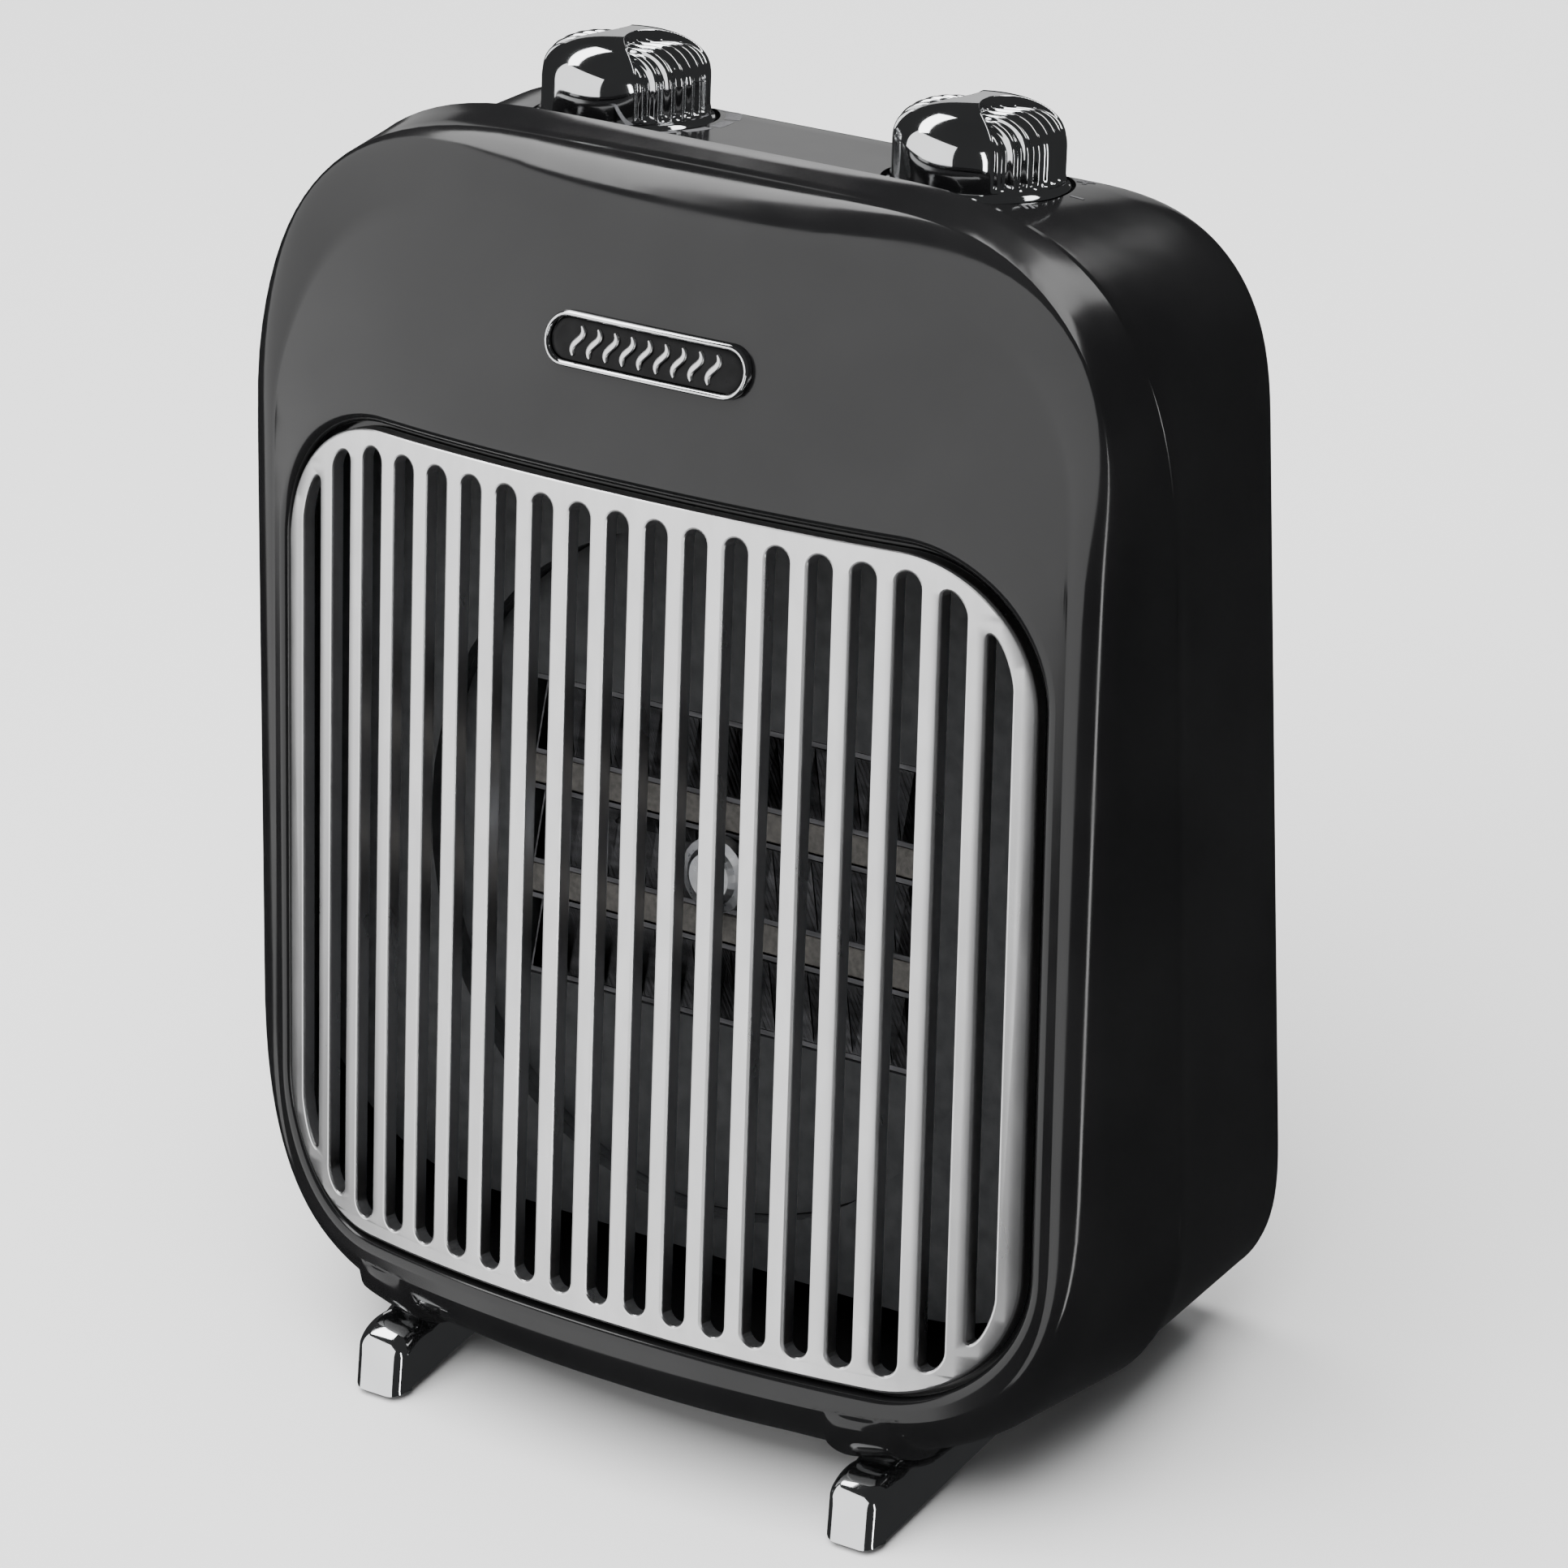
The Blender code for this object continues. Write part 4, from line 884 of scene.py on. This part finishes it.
def skid_loop(x):
    under = [underside(ring, x) for ring in fascia_skin[23:42] + shell_skin[1:]]
    foot = floor_z(SKID_NOSE, sole)
    nose = [(SKID_NOSE + 0.0001 * k, foot + (NOSE_FRONT - foot) * k / 6) for k in range(7)]
    for k in range(1, 15):
        a = math.pi / 2 * k / 14
        nose.append((SKID_NOSE + 0.0006 + NOSE_DEEP * (1 - math.cos(a)) ** 0.9,
                     NOSE_FRONT + NOSE_TALL * math.sin(a)))
    top = [(y, z - SKID_SLACK) for y, z in under if nose[-1][0] + 0.0012 < y < SKID_END - 0.0015]
    last = [p for p in under if p[0] >= SKID_END - 0.0015][0]
    back = [(SKID_END, last[1] - SKID_SLACK), (SKID_END, floor_z(SKID_END, sole))]
    return [(x, y, z) for y, z in nose + top + back]


def inset_loop(loop, amount):
    """The same loop drawn smaller by an amount; the sole moves up by only a little of it."""
    sides = []
    for k, (_, y1, z1) in enumerate(loop):
        _, y0, z0 = loop[k - 1]
        length = math.hypot(y1 - y0, z1 - z0)
        sides.append(((z1 - z0) / length, -(y1 - y0) / length, amount * (0.2 if k == 0 else 1)))
    moved = []
    for k, (x, y, z) in enumerate(loop):
        (ay, az, a), (by, bz, b) = sides[k], sides[(k + 1) % len(loop)]
        turn = ay * bz - az * by
        if abs(turn) > 0.3:
            step = ((a * bz - b * az) / turn, (b * ay - a * by) / turn)
        else:
            step = ((ay * a + by * b) / 2, (az * a + bz * b) / 2)
        moved.append((x, y + step[0], z + step[1]))
    return moved


# %% Both skids, with rounded shoulders
SHOULDER = 0.0038
for name, node, side in (("skid_left_chrome", "skid_left", -1), ("skid_right_chrome", "skid_right", 1)):
    middle = skid_loop(side * (SKID_IN + SKID_OUT) / 2)
    rings = []
    for edge, towards in ((SKID_IN, 1), (SKID_OUT, -1)):
        half = []
        for k in range(7):
            a = math.pi / 2 * k / 6
            x = side * (edge + towards * SHOULDER * (1 - math.cos(a)))
            half.append([(x, y, z)
                         for _, y, z in inset_loop(middle, SHOULDER * (1 - math.sin(a)))])
        rings += half if towards > 0 else half[::-1]
    skid = ring_up(name, rings, closed=False, smooth=40)
    stand_up(skid)
    hand_over(skid, CHROME, "chrome", "case", node)

# %% [markdown]
# ## Heater core
# Air is warmed by folded aluminium strips between ceramic bars. The strip is a thin zigzag as
# deep as the core. Its outline is one closed zigzag loop, so two rings and two caps make it,
# and a flat rail above and below joins its folds.

# %% Folded strips
CORE_W, BANK_H, BAR_H, CORE_Y, CORE_DEPTH, FOLDS = 0.0500, 0.0170, 0.0060, 0.0380, 0.0120, 40
RAIL_H, STRIP_MARGIN = 0.0010, 0.0010
stack = 3 * BANK_H + 2 * (BAR_H + 2 * GAP)


def strip_loop(z0):
    """A zigzag ribbon between two thin rails, as one closed loop in x and z."""
    thin = 0.00018
    pitch = 2 * (CORE_W - STRIP_MARGIN) / FOLDS
    low, high = z0 + RAIL_H, z0 + BANK_H - RAIL_H
    over, under = [], []
    for i in range(FOLDS + 1):
        x = -CORE_W + STRIP_MARGIN + i * pitch
        z = low if i % 2 == 0 else high
        over.append((x - thin, z + (0.0002 if i % 2 == 0 else 0.0)))
        under.append((x + thin, z - (0.0 if i % 2 == 0 else 0.0002)))
    return over + under[::-1]


for b in range(3):
    z0 = -stack / 2 + b * (BANK_H + BAR_H + 2 * GAP)
    loop = strip_loop(z0)
    strip = ring_up("strip", [[(x, y, z) for x, z in loop] for y in (CORE_Y, CORE_Y + CORE_DEPTH)],
                    closed=False, smooth=20)
    rails = []
    for low in (z0, z0 + BANK_H - RAIL_H):
        bpy.ops.object.select_all(action="DESELECT")
        bpy.ops.mesh.primitive_cube_add(size=1, location=(0, CORE_Y + CORE_DEPTH / 2,
                                                          low + RAIL_H / 2))
        rail = bpy.context.object
        rail.scale = (2 * CORE_W, CORE_DEPTH, RAIL_H)
        bpy.ops.object.transform_apply(location=True, rotation=True, scale=True)
        rails.append(rail)
    for part in rails + [strip]:
        part.select_set(True)
    bpy.context.view_layer.objects.active = strip
    bpy.ops.object.join()
    strip = bpy.context.object
    strip.name = strip.data.name = "fin_strip_%d" % (b + 1)
    stand_up(strip)
    hand_over(strip, FOLDED_ALUMINIUM_IN_PAINTED_SHADE, "fin_aluminium", "case", "fin_bank_%d" % (b + 1))

# %% [markdown]
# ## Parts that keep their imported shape
# The fan, its shroud, the motor, the switches, the screws and the rubber pads already have the
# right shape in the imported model, so they only get their finishes.

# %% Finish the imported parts
KEPT = {
    DARK_MOULDING: ("duct_panel", "fan_shroud", "heater_frame", "fan_impeller"),
    SINTERED_IN_PAINTED_SHADE: ("ceramic_bar_1", "ceramic_bar_2"),
    ZINC_PLATE: ("thermal_cutout", "fan_motor", "motor_shaft", "motor_bracket", "thermostat_stem",
                 "mode_stem", "rear_screw_1", "rear_screw_2", "rear_screw_3", "rear_screw_4"),
    PALE_MOULDING: ("terminal_block", "thermostat_body", "tip_over_plunger"),
    BROWN_MOULDING: ("mode_switch", "tip_over_switch"),
    SOFT_RUBBER: ("pad_left_front", "pad_left_rear", "pad_right_front", "pad_right_rear",
                  "cord_gland"),
}
for finish, names in KEPT.items():
    for name in names:
        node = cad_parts[name]
        node.data.materials.clear()
        node.data.materials.append(finish)
print("kept parts:", sum(len(names) for names in KEPT.values()))

# %% [markdown]
# ## Floor, light and camera
# The heater stands on a plain pale floor. A large soft box at the front left gives the bars of
# the grille their even brightness. One above draws the band along the top edge, and a tall
# narrow one at the right draws the line down the right edge. A strip behind the knobs picks
# out their flutes, and a box at the back left lifts the deck. Gloss doesn't reflect the floor
# or the light from the ceiling, and the room is dim, which keeps the black side black.

# %% Floor
bpy.ops.object.select_all(action="DESELECT")
bpy.ops.mesh.primitive_plane_add(size=12, location=(0, 0, 0))
floor = bpy.context.object
floor.name = "floor"
pale = new_finish("pale_floor", (0.80, 0.80, 0.80), 0.6)
floor.data.materials.append(pale)
floor.visible_glossy = False


# %% Soft boxes
def soft_box(name, place, aim, wide, tall, power):
    """A rectangular light of a real size, in metres and watts, turned to a point."""
    light = bpy.data.lights.new(name, "AREA")
    light.shape = "RECTANGLE"
    light.size, light.size_y, light.energy = wide, tall, power
    box = bpy.data.objects.new(name, light)
    bpy.context.scene.collection.objects.link(box)
    box.location = place
    box.rotation_euler = (Vector(aim) - Vector(place)).to_track_quat("-Z", "Y").to_euler()
    return box


soft_box("front_left_box", (-1.70, -2.30, 0.95), (0, 0, 0.12), 4.6, 3.4, 84.0)
soft_box("top_box", (-0.80, 0.22, 1.15), (0, 0, 0.20), 1.1, 0.34, 7.0)
soft_box("right_strip", (1.20, -1.20, 0.15), (0, 0, 0.15), 0.14, 1.5, 5.0)
soft_box("knob_strip", (0.35, 1.05, 1.05), (0, 0, 0.24), 1.7, 0.26, 6.0)
soft_box("back_left_box", (-1.40, 2.00, 0.25), (0, 0, 0.20), 1.6, 1.0, 3.0)
fill = soft_box("ceiling_fill", (0.0, -0.3, 2.2), (0, 0, 0), 3.0, 3.0, 190.0)
fill.visible_glossy = False
world = bpy.data.worlds.new("room")
world.use_nodes = True
world.node_tree.nodes["Background"].inputs["Color"].default_value = (0.92, 0.93, 0.95, 1.0)
world.node_tree.nodes["Background"].inputs["Strength"].default_value = 0.035
bpy.context.scene.world = world

# %% Camera
lens = bpy.data.cameras.new("camera")
lens.lens, lens.sensor_width = 174.989, 36.0
camera = bpy.data.objects.new("camera", lens)
bpy.context.scene.collection.objects.link(camera)
camera.matrix_world = Matrix(((0.794725, -0.202680, 0.572130, 0.890371),
                              (0.587875, 0.491593, -0.642448, -0.982676),
                              (-0.151044, 0.846911, 0.509832, 0.906713),
                              (0.0, 0.0, 0.0, 1.0)))
bpy.context.scene.camera = camera
print("camera at", [round(value, 3) for value in camera.location])
